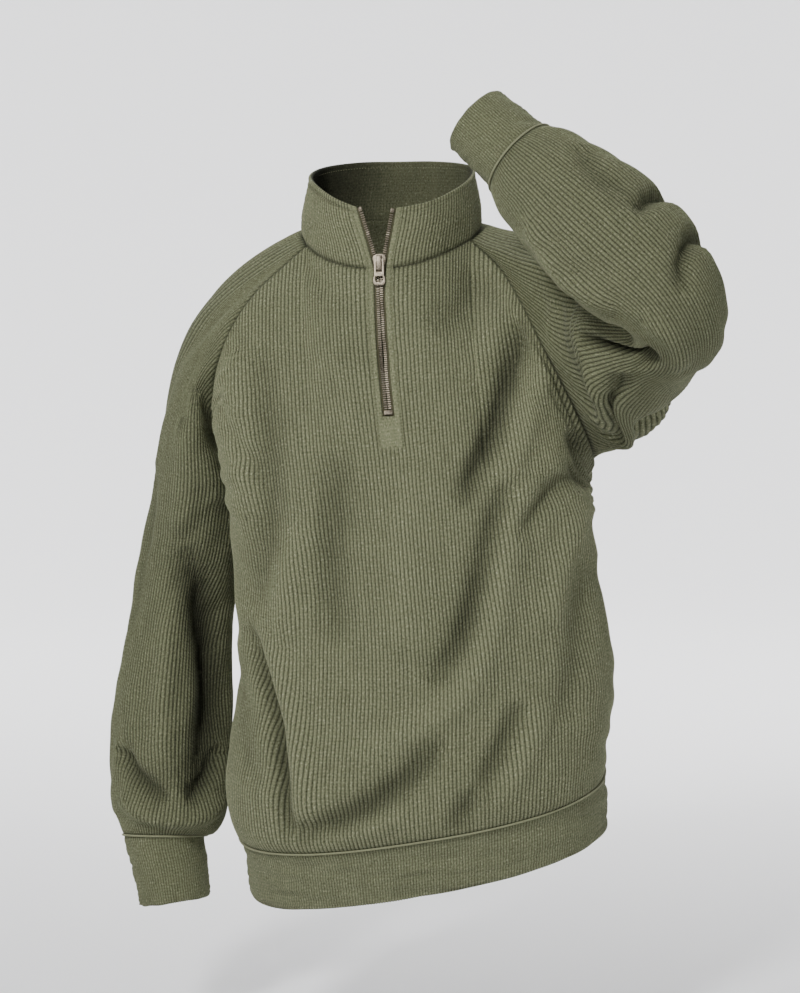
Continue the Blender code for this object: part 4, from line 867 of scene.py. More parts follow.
@dataclass
class Body:
    """Front and back panels of rib knit, joined at the side seams.

    Each `_fade` holds the reaches from the low and the high seam over which folds, or the painted shade and
    light that they give, die out.
    """

    torso: TorsoForm
    knit: RibKnit
    wall: float = 2.3
    low_rows: int = 58
    under_slit_rows: int = 22
    beside_slit_rows: int = 34
    slit_cells: int = 6
    low_crowd: float = 0.012
    high_crowd: float = 0.03
    high_gap_share: float = 0.0006
    rib_height: float = -420.0
    fold_fade: tuple = (30, 40)
    painted_shade_fade: tuple = (12, 5)
    waves: Waves = Waves(1.5, 7, (16, 16))
    rib_seed: int = 11
    side_blend: float = 20.0
    placket: float = 8.0
    placket_rise: float = 1.35
    placket_edge: float = 1.4
    placket_tone: float = 0.85
    stitch_at: float = 6.0
    groove: float = 0.8
    groove_width: float = 0.8
    sewn_groove_shade: float = 0.55
    slit_dip: float = 0.9
    box_depth: float = 27.0
    slit_row: int = 0
    box_row: int = 0
    middle: int = 0
    halves: tuple = ((Face.FRONT, slice(0, -1)), (Face.BACK, slice(0, None)))
    grids: dict = field(default_factory=dict)
    normals: dict = field(default_factory=dict)

    def ribs(self, face: Face, side: Side) -> tuple[int, int]:
        """Numbers of ribs over half a panel's neck line and over its raglan seam."""
        half = run_lengths(self.torso.half_ring(self.rib_height, side, np.linspace(0, 1, MEASURE_POINTS)))[-1]
        corner, seam = self.torso.corner_share[face, side], self.torso.seam_share[side]
        seam = 1 - seam if face is Face.BACK else seam
        return round(half * corner / self.knit.pitch), round(half * (seam - corner) / self.knit.pitch)

    def build(self) -> list[bpy.types.Object]:
        """Makes both panels.

        Returns:
            The front and the back.
        """
        torso = self.torso
        low = crowded_ends(self.low_rows, self.low_crowd, 0)
        low = torso.band_seam + (torso.top_ring - torso.band_seam) * low
        rising = crowded_ends(self.beside_slit_rows, 0, self.high_crowd)
        rising = torso.slit_share + (1 - torso.slit_share) * rising
        high = np.concatenate([np.linspace(0, torso.slit_share, self.under_slit_rows + 1), rising[1:]])
        high[-1] -= self.high_gap_share
        low[0] += SEAM_GAP_HALF
        self.slit_row = len(low) - 1 + self.under_slit_rows
        panels = {}
        for face in Face:
            halves = []
            for side in Side:
                neck, raglan = (RIB_COLUMNS * count for count in self.ribs(face, side))
                halves.append(torso.panel_half(face, side, neck, raglan, self.slit_cells, low, high))
            right, left = halves
            middle = (right[:, :1] + left[:, :1]) / 2
            if face is Face.FRONT:
                self.middle = right.shape[1] - 1
                panels[face] = np.concatenate([right[:, :0:-1], middle, left[:, 1:]], axis=1)
            else:
                panels[face] = np.concatenate([left[:, :0:-1], middle, right[:, 1:]], axis=1)
        count = panels[Face.FRONT].shape[1]
        ring = np.concatenate([panels[Face.FRONT][:, :-1], panels[Face.BACK]], axis=1)
        relief = self.folds(ring)
        # the fold heights, faded sooner, go to the finish as painted shade in troughs and painted light on
        # crests
        fold, tone = relief * end_fade(ring, *self.fold_fade), relief * end_fade(ring, *self.painted_shade_fade)
        ring = self.waves.on(ring, True, 1, fold)
        normals = grid_normals(ring, True, 1)
        normals = blend_ends(normals, ring, loop_normals(ring[0]), seam_normals(ring[-1]))
        made = []
        for face, cut in ((Face.FRONT, slice(0, count)), (Face.BACK, slice(count - 1, None))):
            self.grids[face], self.normals[face] = ring[:, cut].copy(), normals[:, cut]
            made.append(self.panel(face, tone[:, cut]))
        return made

    def folds(self, ring: Array) -> Array:
        """Folds of the whole ring: the front's before its widest line and the back's behind it."""
        places = ring[..., [0, 2]]
        back = np.clip((ring[..., 1] + self.side_blend) / self.side_blend, 0, 1)
        return (1 - back) * fold_heights(places, FRONT_FOLDS) + back * fold_heights(places, BACK_FOLDS)

    def panel(self, face: Face, fold: Array) -> bpy.types.Object:
        """Makes one panel's shell with its ribs, and the placket beside the front's slit."""
        grid, normals = self.grids[face], self.normals[face]
        rows, columns = grid.shape[:2]
        heights, rib = self.knit.heights(grid, 0, True, True, self.rib_seed)
        run = np.linalg.norm(np.diff(grid, axis=1), axis=-1)
        run = np.concatenate([np.zeros((rows, 1)), np.cumsum(run, axis=1)], axis=1)
        side = np.minimum(run, run[:, -1:] - run)
        heights = self.knit.sunk(heights, bell(side, self.knit.seam_reach))
        present = np.ones((rows - 1, (columns - 1) // RIB_COLUMNS), bool)
        if face is Face.FRONT:
            middle = self.middle
            slit_half = self.torso.slit_half
            away = np.abs(run - run[:, middle:middle + 1])
            down = run_lengths(grid[:self.slit_row + 1, middle][::-1])
            self.box_row = self.slit_row - int(np.searchsorted(down, self.box_depth))
            beside = (away < slit_half + self.placket) & (np.arange(rows)[:, None] >= self.box_row)
            edge = np.clip((slit_half + self.placket - away) / self.placket_edge, 0, 1)
            groove = bell(away - slit_half - self.stitch_at, self.groove_width)
            slit = bell(away - slit_half, self.groove_width)
            flat = self.placket_rise * np.sqrt(edge) - self.slit_dip * slit - self.groove * groove
            heights = np.where(beside, flat, heights)
            # painted shade in the sewn groove: the rib place, and so the colour, drops there
            rib = np.where(beside, self.placket_tone - self.sewn_groove_shade * groove, rib)
            first, last = (middle - self.slit_cells) // RIB_COLUMNS, (middle + self.slit_cells) // RIB_COLUMNS
            present[self.slit_row:, first:last] = False
        outer = grid + normals * heights[..., None]
        inner = (grid - normals * self.wall)[:, ::RIB_COLUMNS]
        name = face.value + "_cloth"
        return Shell(name, outer, inner, False, 1, present, rib, fold, self.knit.pitch).build()

    def slit_edge(self, side: Side) -> tuple[Array, Array, Array]:
        """Points, normals and points on the middle along one edge of the slit, from its bottom up."""
        grid, normals = self.grids[Face.FRONT], self.normals[Face.FRONT]
        reach = -self.slit_cells if side is Side.RIGHT else self.slit_cells
        column, other = self.middle + reach, self.middle - reach
        rows = slice(self.slit_row, None)
        return grid[rows, column], normals[rows, column], (grid[rows, column] + grid[rows, other]) / 2


@dataclass
class Sleeve:
    """A raglan sleeve and its cuff.

    Each `_fade` holds reaches as in Body, each `_gap_share` keeps a piece back from its seam, `step_share` is
    how far below the top ring the slope of the wall is read, and `round_length` turns a share of the way
    round into millimetres for the folds.
    """

    torso: TorsoForm
    form: HangingForm | RaisedForm
    knit: RibKnit
    trim: RibKnit
    raglan_ribs: int = 43
    shoulder_ribs: int = 14
    cuff_ribs: int = 88
    tube_rows: int = 84
    cap_rows: int = 44
    cuff_rows: int = 24
    low_crowd: float = 0.012
    high_crowd: float = 0.02
    cuff_crowd: float = 0.05
    low_gap_share: float = 0.0004
    high_gap_share: float = 0.0012
    cuff_gap_share: float = 0.0003
    step_share: float = 0.055
    fold_fade: tuple = (18, 40)
    painted_shade_fade: tuple = (8, 5)
    waves: Waves = Waves(0.9, 21, (12, 12))
    cuff_waves: Waves = Waves(0.7, 31, (1, 12))
    rib_seed: int = 5
    cuff_rib_seed: int = 9
    plain_gain: float = 2.2
    round_length: float = 400.0
    wall: float = 2.3
    cuff_wall: float = 2.6
    low_edge: tuple = ()

    def armhole(self, raglan_cells: int, shoulder_cells: int) -> Array:
        """Closed line of the sleeve's top: underarm, front raglan seam, neck, back raglan seam, underarm."""
        side = self.form.side
        front = along(self.torso.raglan[Face.FRONT, side], np.linspace(0, 1, raglan_cells + 1))[::-1]
        neck = along(self.torso.neck_side[side], np.linspace(0, 1, shoulder_cells + 1))
        back = along(self.torso.raglan[Face.BACK, side], np.linspace(0, 1, raglan_cells + 1))
        return np.concatenate([front, neck[1:], back[1:]])

    def build(self) -> list[bpy.types.Object]:
        """Makes the sleeve and the cuff.

        Returns:
            The two objects.
        """
        form = self.form
        raglan, shoulder = RIB_COLUMNS * self.raglan_ribs, RIB_COLUMNS * self.shoulder_ribs
        cells = 2 * raglan + shoulder
        turns, places = np.linspace(0, 2 * math.pi, cells + 1), np.linspace(0, 1, cells + 1)
        seam = form.cuff_share()
        shares = seam + (1 - seam) * crowded_ends(self.tube_rows, self.low_crowd, 0)
        shares[0] += self.low_gap_share
        rings = form.rings(shares, turns)
        before = form.rings(np.array([1 - self.step_share]), turns)[0]
        ways = form.cap_ways
        end_way = smooth([k for k, _ in ways], [w for _, w in ways], places)
        steps = crowded_ends(self.cap_rows, 0, self.high_crowd)
        steps[-1] -= self.high_gap_share
        pulls = np.array(form.cap_pulls)
        start_pull, end_pull = (np.interp(places, pulls[:, 0], pulls[:, k])[:, None] for k in (1, 2))
        top = self.armhole(raglan, shoulder)
        cap = bezier(rings[-1], rings[-1] - before, top, end_way, steps[1:], start_pull, end_pull)
        grid = np.concatenate([rings, cap])
        relief = self.folds(grid, form.folds)
        fold = relief * end_fade(grid, *self.fold_fade)
        grid = self.waves.on(grid, True, form.sign, fold, cells + form.sign)
        normals = grid_normals(grid, True, form.sign)
        normals = blend_ends(normals, grid, loop_normals(grid[0]), seam_normals(grid[-1]))
        self.low_edge = (grid[0], normals[0])
        heights, rib = self.knit.heights(grid, 0, True, True, self.rib_seed)
        if form.plain_strip:
            plain = np.clip(self.folds(grid, (form.plain_strip,)) * self.plain_gain, 0, 1)
            heights, rib = heights * (1 - plain) + self.knit.rise * plain, rib * (1 - plain) + plain
        # the fold heights, faded sooner, go to the finish as painted shade in troughs and painted light on
        # crests
        tone = relief * end_fade(grid, *self.painted_shade_fade)
        outer = grid + normals * heights[..., None]
        inner = (grid - normals * self.wall)[:, ::RIB_COLUMNS]
        name = f"sleeve_{form.side.value}_cloth"
        shell = Shell(name, outer, inner, True, form.sign, None, rib, tone, self.knit.pitch)
        return [shell.build(), self.cuff(seam)]

    def folds(self, grid: Array, folds: Sequence[Fold]) -> Array:
        """Folds of the sleeve by the share round it and the length from its cuff."""
        length = column_lengths(grid)
        share = np.broadcast_to(np.linspace(0, 1, grid.shape[1]), length.shape)
        total = np.zeros(length.shape)
        lines = [tuple((at * self.round_length, up) for at, up in fold.line) for fold in folds]
        laid = [Fold(line, fold.half_width, fold.height) for line, fold in zip(lines, folds)]
        for turn in (-1, 0, 1):
            total += fold_heights(np.stack([(share + turn) * self.round_length, length], axis=-1), laid)
        return total

    def cuff(self, seam: float) -> bpy.types.Object:
        """Makes the cuff, a double band of fine rib with a folded edge."""
        form = self.form
        turns = np.linspace(0, 2 * math.pi, RIB_COLUMNS * self.cuff_ribs + 1)
        shares = crowded_ends(self.cuff_rows, self.cuff_crowd, self.cuff_crowd)
        grid = form.rings(seam * shares - self.cuff_gap_share * seam, turns)
        grid = self.cuff_waves.on(grid, True, form.sign, shift=form.sign)
        name = f"cuff_{form.side.value}_cloth"
        return double_band(name, grid, form.sign, self.trim, self.cuff_wall, self.cuff_rib_seed)


@dataclass
class Waistband:
    """A double band of fine rib below the body."""

    torso: TorsoForm
    trim: RibKnit
    rows: int = 18
    crowd: float = 0.05
    waves: Waves = Waves(1.0, 41, (1, 14))
    rib_seed: int = 13
    wall: float = 2.8

    def build(self) -> bpy.types.Object:
        """Makes the band."""
        torso = self.torso
        heights = crowded_ends(self.rows, self.crowd, self.crowd)
        heights = torso.band_bottom + (torso.band_seam - torso.band_bottom) * heights
        heights[-1] -= SEAM_GAP_HALF
        halves = {}
        for side in Side:
            seam = torso.half_ring(torso.band_seam, side, np.linspace(0, 1, MEASURE_POINTS))
            cells = RIB_COLUMNS * round(run_lengths(seam)[-1] / self.trim.pitch)
            halves[side] = np.stack([torso.half_ring(z, side, np.linspace(0, 1, cells + 1)) for z in heights])
        grid = np.concatenate([halves[Side.RIGHT][:, ::-1], halves[Side.LEFT][:, 1:]], axis=1)
        grid = self.waves.on(grid, True, 1)
        return double_band("waistband_cloth", grid, 1, self.trim, self.wall, self.rib_seed)


@dataclass
class Collar:
    """A stand collar of doubled rib knit, open at the front along the zip.

    `shade_shares` are the shares of `inner_shade` that are painted inside at `shade_places` along the collar.
    """

    torso: TorsoForm
    knit: RibKnit
    neck_ribs: int = 26
    shoulder_ribs: int = 21
    back_ribs: int = 26
    rows: int = 26
    crowd: float = 0.04
    low_gap_share: float = 0.002
    pull: float = 0.4
    waves: Waves = Waves(0.3, 51, (12, 30))
    rib_seed: int = 17
    inner_rib_seed: int = 19
    inner_rib_shift: int = 2
    inner_rib_share: float = 0.8
    wall: float = 3.0
    lean: float = 0.12
    edge_reach: float = 16.0
    placket: float = 8.0
    placket_rise_share: float = 1.05
    placket_edge: float = 1.2
    placket_tone: float = 0.85
    stitch_at: float = 6.0
    rim_stitch_at: float = 6.5
    groove: float = 0.7
    groove_width: float = 0.8
    rim_groove_width: float = 0.9
    sewn_groove_shade: float = 0.6
    rim: tuple = ((-30, -78, 27), (-52, -71, 36), (-76, -45, 51), (-86, -6, 62), (-74, 40, 72), (-42, 62, 77),
                  (0, 68, 78), (42, 62, 78), (76, 40, 74), (86, -6, 63), (72, -48, 47), (42, -73, 32),
                  (12, -80, 26))
    inner_shade: float = -23.0
    shade_places: tuple = (0.0, 0.18, 0.28, 0.40, 0.48, 0.56, 0.66, 0.74, 0.85, 1.0)
    shade_shares: tuple = (0.5, 0.8, 1.0, 0.7, 0.12, 0.05, 0.4, 0.9, 0.8, 0.5)
    grid: Array | None = None
    normals: Array | None = None

    def neck_line(self) -> Array:
        """Neck seam from the slit's right edge round the back to its left edge."""
        lines = []
        for side in Side:
            front = np.array(self.torso.neck[Face.FRONT, side], float)
            first = self.torso.slit_half / run_lengths(front)[-1]
            back = self.torso.neck[Face.BACK, side][::-1]
            counts = (RIB_COLUMNS * ribs + 1 for ribs in (self.neck_ribs, self.shoulder_ribs, self.back_ribs))
            parts = ((front, first), (self.torso.neck_side[side], 0), (back, 0))
            runs = [along(part, np.linspace(start, 1, count)) for (part, start), count in zip(parts, counts)]
            lines.append(np.concatenate([runs[0], runs[1][1:], runs[2][1:]]))
        return np.concatenate([lines[0], lines[1][-2::-1]])

    def build(self) -> bpy.types.Object:
        """Makes the collar, ribbed outside and inside."""
        base = self.neck_line()
        run = run_lengths(base)
        rim = along(self.rim, run / run[-1])
        out = unit(base * (1, 1, 0))
        edge = np.exp(-np.minimum(run, run[-1] - run) / self.edge_reach)[:, None]
        straight = unit(rim - base)
        start_way = (1 - edge) * (out * self.lean + (0, 0, 1.0)) + edge * straight
        end_way = (1 - edge) * (out * -self.lean + (0, 0, 1.0)) + edge * straight
        steps = crowded_ends(self.rows, self.crowd, self.crowd)
        steps[0] += self.low_gap_share
        grid = bezier(base, start_way, rim, end_way, steps, self.pull, self.pull)
        grid = self.waves.on(grid, False, -1)
        normals = blend_ends(grid_normals(grid, False, -1), grid, seam_normals(grid[0]), None)
        self.grid, self.normals = grid, normals
        heights, rib = self.knit.heights(grid, 0, True, False, self.rib_seed)
        side = np.minimum(run, run[-1] - run)
        flat = self.strip_rise() * np.clip(1 - (side - self.placket) / self.placket_edge, 0, 1)
        strip = side < self.placket + self.placket_edge
        heights = np.where(strip, np.maximum(flat, heights * (side > self.placket)), heights)
        length = column_lengths(grid)
        sewn = bell(side - self.stitch_at, self.groove_width)[None]
        sewn = np.maximum(sewn, bell(length[-1] - length - self.rim_stitch_at, self.rim_groove_width))
        heights = heights - self.groove * sewn
        # painted shade in the sewn grooves: the rib place, and so the colour, drops there
        rib = np.where(side < self.placket, self.placket_tone, rib) * (1 - self.sewn_groove_shade * sewn)
        radius = self.wall / 2
        draw = np.maximum(folded_edge(length[-1] - length, radius), folded_edge(side, radius)[None])
        outer = grid + normals * (heights - draw)[..., None]
        within, _ = self.knit.heights(grid, self.inner_rib_shift, True, False, self.inner_rib_seed)
        depth = self.wall + self.inner_rib_share * within - self.groove * sewn - draw
        inner = grid - normals * depth[..., None]
        # painted shade on the collar's inside, deepest at its sides, carried as a trough's depth
        painted_inside_shade = self.inner_shade * np.interp(run / run[-1], self.shade_places, self.shade_shares)
        painted_inside_shade = np.broadcast_to(painted_inside_shade, inner.shape[:2])
        shell = Shell("collar_cloth", outer, inner, False, -1, None, rib, None, self.knit.pitch, painted_inside_shade)
        return shell.build()

    def strip_rise(self) -> float:
        """Height of the plain strips beside the zip."""
        return self.knit.rise * self.placket_rise_share

    def front_edge(self, side: Side) -> tuple[Array, Array, Array]:
        """Points, normals and points on the middle along one front edge, from the neck to the rim."""
        column, other = (0, -1) if side is Side.RIGHT else (-1, 0)
        middle = (self.grid[1:, column] + self.grid[1:, other]) / 2
        return self.grid[1:, column], self.normals[1:, column], middle


# ---------------------------------------------------------------- zip
@dataclass
class ZipEdge:
    """One side of the slit and of the collar's opening, from the slit's bottom to the collar's rim."""

    points: Array
    normals: Array
    middles: Array

    def __post_init__(self) -> None:
        """Works out the run and the ways to the middle."""
        self.run = run_lengths(self.points)
        ways = unit(np.cross(np.gradient(self.points, axis=0), self.normals))
        self.ways = ways * np.sign(np.sum(ways * (self.middles - self.points)))

    def at(self, lengths: Array) -> tuple[Array, Array, Array]:
        """Points, ways to the middle and normals at lengths from the bottom."""
        return tuple(read_at(self.run, table, lengths) for table in (self.points, self.ways, self.normals))


@dataclass(frozen=True)
class ZipFrame:
    """A place on the zip: across it to the wearer's left, up it, and out of the cloth."""

    origin: Array
    up: Array
    out: Array

    def matrix(self, stood: bool = False) -> Matrix:
        """Matrix from the frame in metres to the world.

        Args:
            stood: Whether the drawing plane holds up and out, with across as its depth.

        Returns:
            The matrix.
        """
        up = unit(self.up)
        across = unit(np.cross(up, self.out))
        out = np.cross(across, up)
        axes = (up, out, across) if stood else (across, up, out)
        place = Matrix.Identity(4)
        for column, axis in enumerate((*axes, self.origin * MM)):
            for row in range(3):
                place[row][column] = float(axis[row])
        return place


class Bench:
    """Models hard pieces with the tools of the editor."""

    sharp_angle = math.radians(35)

    @staticmethod
    def alone(thing: bpy.types.Object) -> None:
        """Selects one object and makes it active."""
        bpy.ops.object.select_all(action="DESELECT")
        thing.select_set(True)
        bpy.context.view_layer.objects.active = thing

    @classmethod
    def apply(cls, thing: bpy.types.Object, kind: str, **settings: object) -> None:
        """Adds a modifier with its settings and applies it."""
        cls.alone(thing)
        modifier = thing.modifiers.new(kind.lower(), kind)
        for key, value in settings.items():
            setattr(modifier, key, value)
        bpy.ops.object.modifier_apply(modifier=modifier.name)

    @classmethod
    def plate(cls, name: str, outline: Sequence, low: float, high: float, bevel: float,
              segments: int = 2) -> bpy.types.Object:
        """A flat piece drawn by its outline and extruded, with rounded edges; all in millimetres."""
        bpy.ops.object.select_all(action="DESELECT")
        bpy.ops.mesh.primitive_circle_add(vertices=len(outline), radius=0.01, fill_type="NGON")
        made = bpy.context.object
        made.name = name
        for point, (x, y) in zip(made.data.vertices, outline):
            point.co = (x * MM, y * MM, low * MM)
        bpy.ops.object.mode_set(mode="EDIT")
        bpy.ops.mesh.select_all(action="SELECT")
        bpy.ops.mesh.extrude_region_move(TRANSFORM_OT_translate={"value": (0, 0, (high - low) * MM)})
        bpy.ops.mesh.select_all(action="SELECT")
        bpy.ops.mesh.normals_make_consistent(inside=False)
        bpy.ops.object.mode_set(mode="OBJECT")
        if bevel:
            cls.apply(made, "BEVEL", width=bevel * MM, segments=segments, limit_method="ANGLE")
        return made

    @classmethod
    def cut(cls, thing: bpy.types.Object, tool: bpy.types.Object) -> None:
        """Cuts one object out of another and takes the tool away."""
        cls.apply(thing, "BOOLEAN", operation="DIFFERENCE", object=tool, solver="EXACT")
        bpy.data.objects.remove(tool)

    @classmethod
    def join(cls, things: Sequence[bpy.types.Object], name: str) -> bpy.types.Object:
        """Joins objects into the first."""
        bpy.ops.object.select_all(action="DESELECT")
        for thing in things:
            thing.select_set(True)
        bpy.context.view_layer.objects.active = things[0]
        if len(things) > 1:
            bpy.ops.object.join()
        things[0].name = name
        return things[0]

    @classmethod
    def settle(cls, thing: bpy.types.Object, place: Matrix) -> bpy.types.Object:
        """Moves an object's mesh to its place, leaving the object at the origin."""
        thing.data.transform(place)
        thing.matrix_world = Matrix.Identity(4)
        cls.alone(thing)
        bpy.ops.object.shade_smooth_by_angle(angle=cls.sharp_angle)
        return thing


def ribbon(name: str, points: Array, ways: Array, normals: Array, corners: Sequence) -> bpy.types.Object:
    """A strip beside a line of edge points, whose cross-section is given along the ways and the normals.

    Args:
        name: Name of the object.
        points: The line, in millimetres.
        ways: Direction of the section's first coordinate at each point.
        normals: Direction of its second.
        corners: The section's corners.

    Returns:
        The object, with a UV map in metres across and along the strip.
    """
    grid = np.stack([points + ways * side + normals * depth for side, depth in corners], axis=1)
    count, sides = grid.shape[:2]
    faces = [tuple(range(sides)), tuple((count - 1) * sides + k for k in range(sides))[::-1]]
    for r in range(count - 1):
        for k in range(sides):
            after = (k + 1) % sides
            faces.append((sides * r + k, sides * (r + 1) + k, sides * (r + 1) + after, sides * r + after))
    mesh = bpy.data.meshes.new(name)
    mesh.from_pydata((grid.reshape(-1, 3) * MM).tolist(), [], faces)
    build = bmesh.new()
    build.from_mesh(mesh)
    bmesh.ops.recalc_face_normals(build, faces=build.faces)
    build.to_mesh(mesh)
    build.free()
    run = run_lengths(points)
    across = np.tile([side for side, _ in corners], count)
    along_it = np.repeat(run, sides)
    layer = mesh.uv_layers.new(name="cloth")
    for loop in mesh.loops:
        layer.data[loop.index].uv = (across[loop.vertex_index] * MM, along_it[loop.vertex_index] * MM)
    made = bpy.data.objects.new(name, mesh)
    bpy.context.scene.collection.objects.link(made)
    return made


def copies(name: str, pattern: bpy.types.Object, places: Sequence[Matrix]) -> bpy.types.Object:
    """Makes one object of many copies of a pattern at places, and takes the pattern away."""
    sharp_angle = math.radians(40)
    points = np.array([vertex.co for vertex in pattern.data.vertices])
    polygons = [list(face.vertices) for face in pattern.data.polygons]
    count = len(points)
    frames = np.array([[list(row) for row in place] for place in places])
    moved = np.einsum("pij,vj->pvi", frames[:, :3, :3], points) + frames[:, None, :3, 3]
    faces = [[k * count + v for v in face] for k in range(len(places)) for face in polygons]
    mesh = bpy.data.meshes.new(name)
    mesh.from_pydata(moved.reshape(-1, 3).tolist(), [], faces)
    made = bpy.data.objects.new(name, mesh)
    bpy.context.scene.collection.objects.link(made)
    bpy.data.objects.remove(pattern)
    Bench.alone(made)
    bpy.ops.object.shade_smooth_by_angle(angle=sharp_angle)
    return made


def frames_on(points: Array, ways: Array, normals: Array) -> list[Matrix]:
    """Matrices at points in millimetres: first axis along the ways, third along the normals."""
    ways = unit(ways)
    out = unit(normals - np.sum(normals * ways, axis=-1, keepdims=True) * ways)
    side = np.cross(out, ways)
    rows = np.stack([ways, side, out, points * MM], axis=-1)
    return [Matrix([*row.tolist(), [0, 0, 0, 1]]) for row in rows]


# Outlines of the hard pieces in millimetres, across the zip and up it, or out of the cloth for the bridge.
TOOTH = ((-2.0, -0.62), (0.6, -0.62), (1.5, -0.45), (1.8, 0.0), (1.5, 0.45), (0.6, 0.62), (-2.0, 0.62))
SLIDER_PLATE = ((-4.3, -11.0), (4.3, -11.0), (5.2, -9.5), (5.2, -3.0), (7.0, 4.5), (6.2, 8.0), (2.6, 9.5),
                (-2.6, 9.5), (-6.2, 8.0), (-7.0, 4.5), (-5.2, -3.0), (-5.2, -9.5))
SLIDER_WEDGE = ((0.25, 3.0), (1.25, 7.4), (1.5, 9.2), (-1.5, 9.2), (-1.25, 7.4), (-0.25, 3.0))
SLIDER_FLANGE = ((4.05, -9.5), (5.15, -9.5), (5.15, -3.0), (4.05, -3.0))
SLIDER_BRIDGE = ((8.0, 3.0), (8.0, 6.9), (7.4, 8.1), (6.2, 8.6), (-6.2, 8.6), (-7.4, 8.1), (-8.0, 6.9),
                 (-8.0, 3.0), (-6.8, 3.0), (-6.8, 6.6), (-6.1, 7.4), (6.1, 7.4), (6.8, 6.6), (6.8, 3.0))
TAB_PLATE = ((-5.2, 3.4), (-5.2, -13.0), (-6.2, -16.5), (-6.4, -19.5), (-5.6, -22.2), (-3.4, -23.5),
             (3.4, -23.5), (5.6, -22.2), (6.4, -19.5), (6.2, -16.5), (5.2, -13.0), (5.2, 3.4), (4.2, 4.2),
             (-4.2, 4.2))
TAB_WINDOW = ((-3.1, 0.9), (-3.1, -9.6), (3.1, -9.6), (3.1, 0.9))
TAB_HOLE = ((-3.6, -14.0), (-4.2, -16.0), (-3.8, -19.0), (-2.2, -20.6), (2.2, -20.6), (3.8, -19.0),
            (4.2, -16.0), (3.6, -14.0))


def block(half_width: float, low: float, high: float) -> list[tuple]:
    """Outline of a block across the zip, from a low end to a high one."""
    return [(-half_width, low), (half_width, low), (half_width, high), (-half_width, high)]


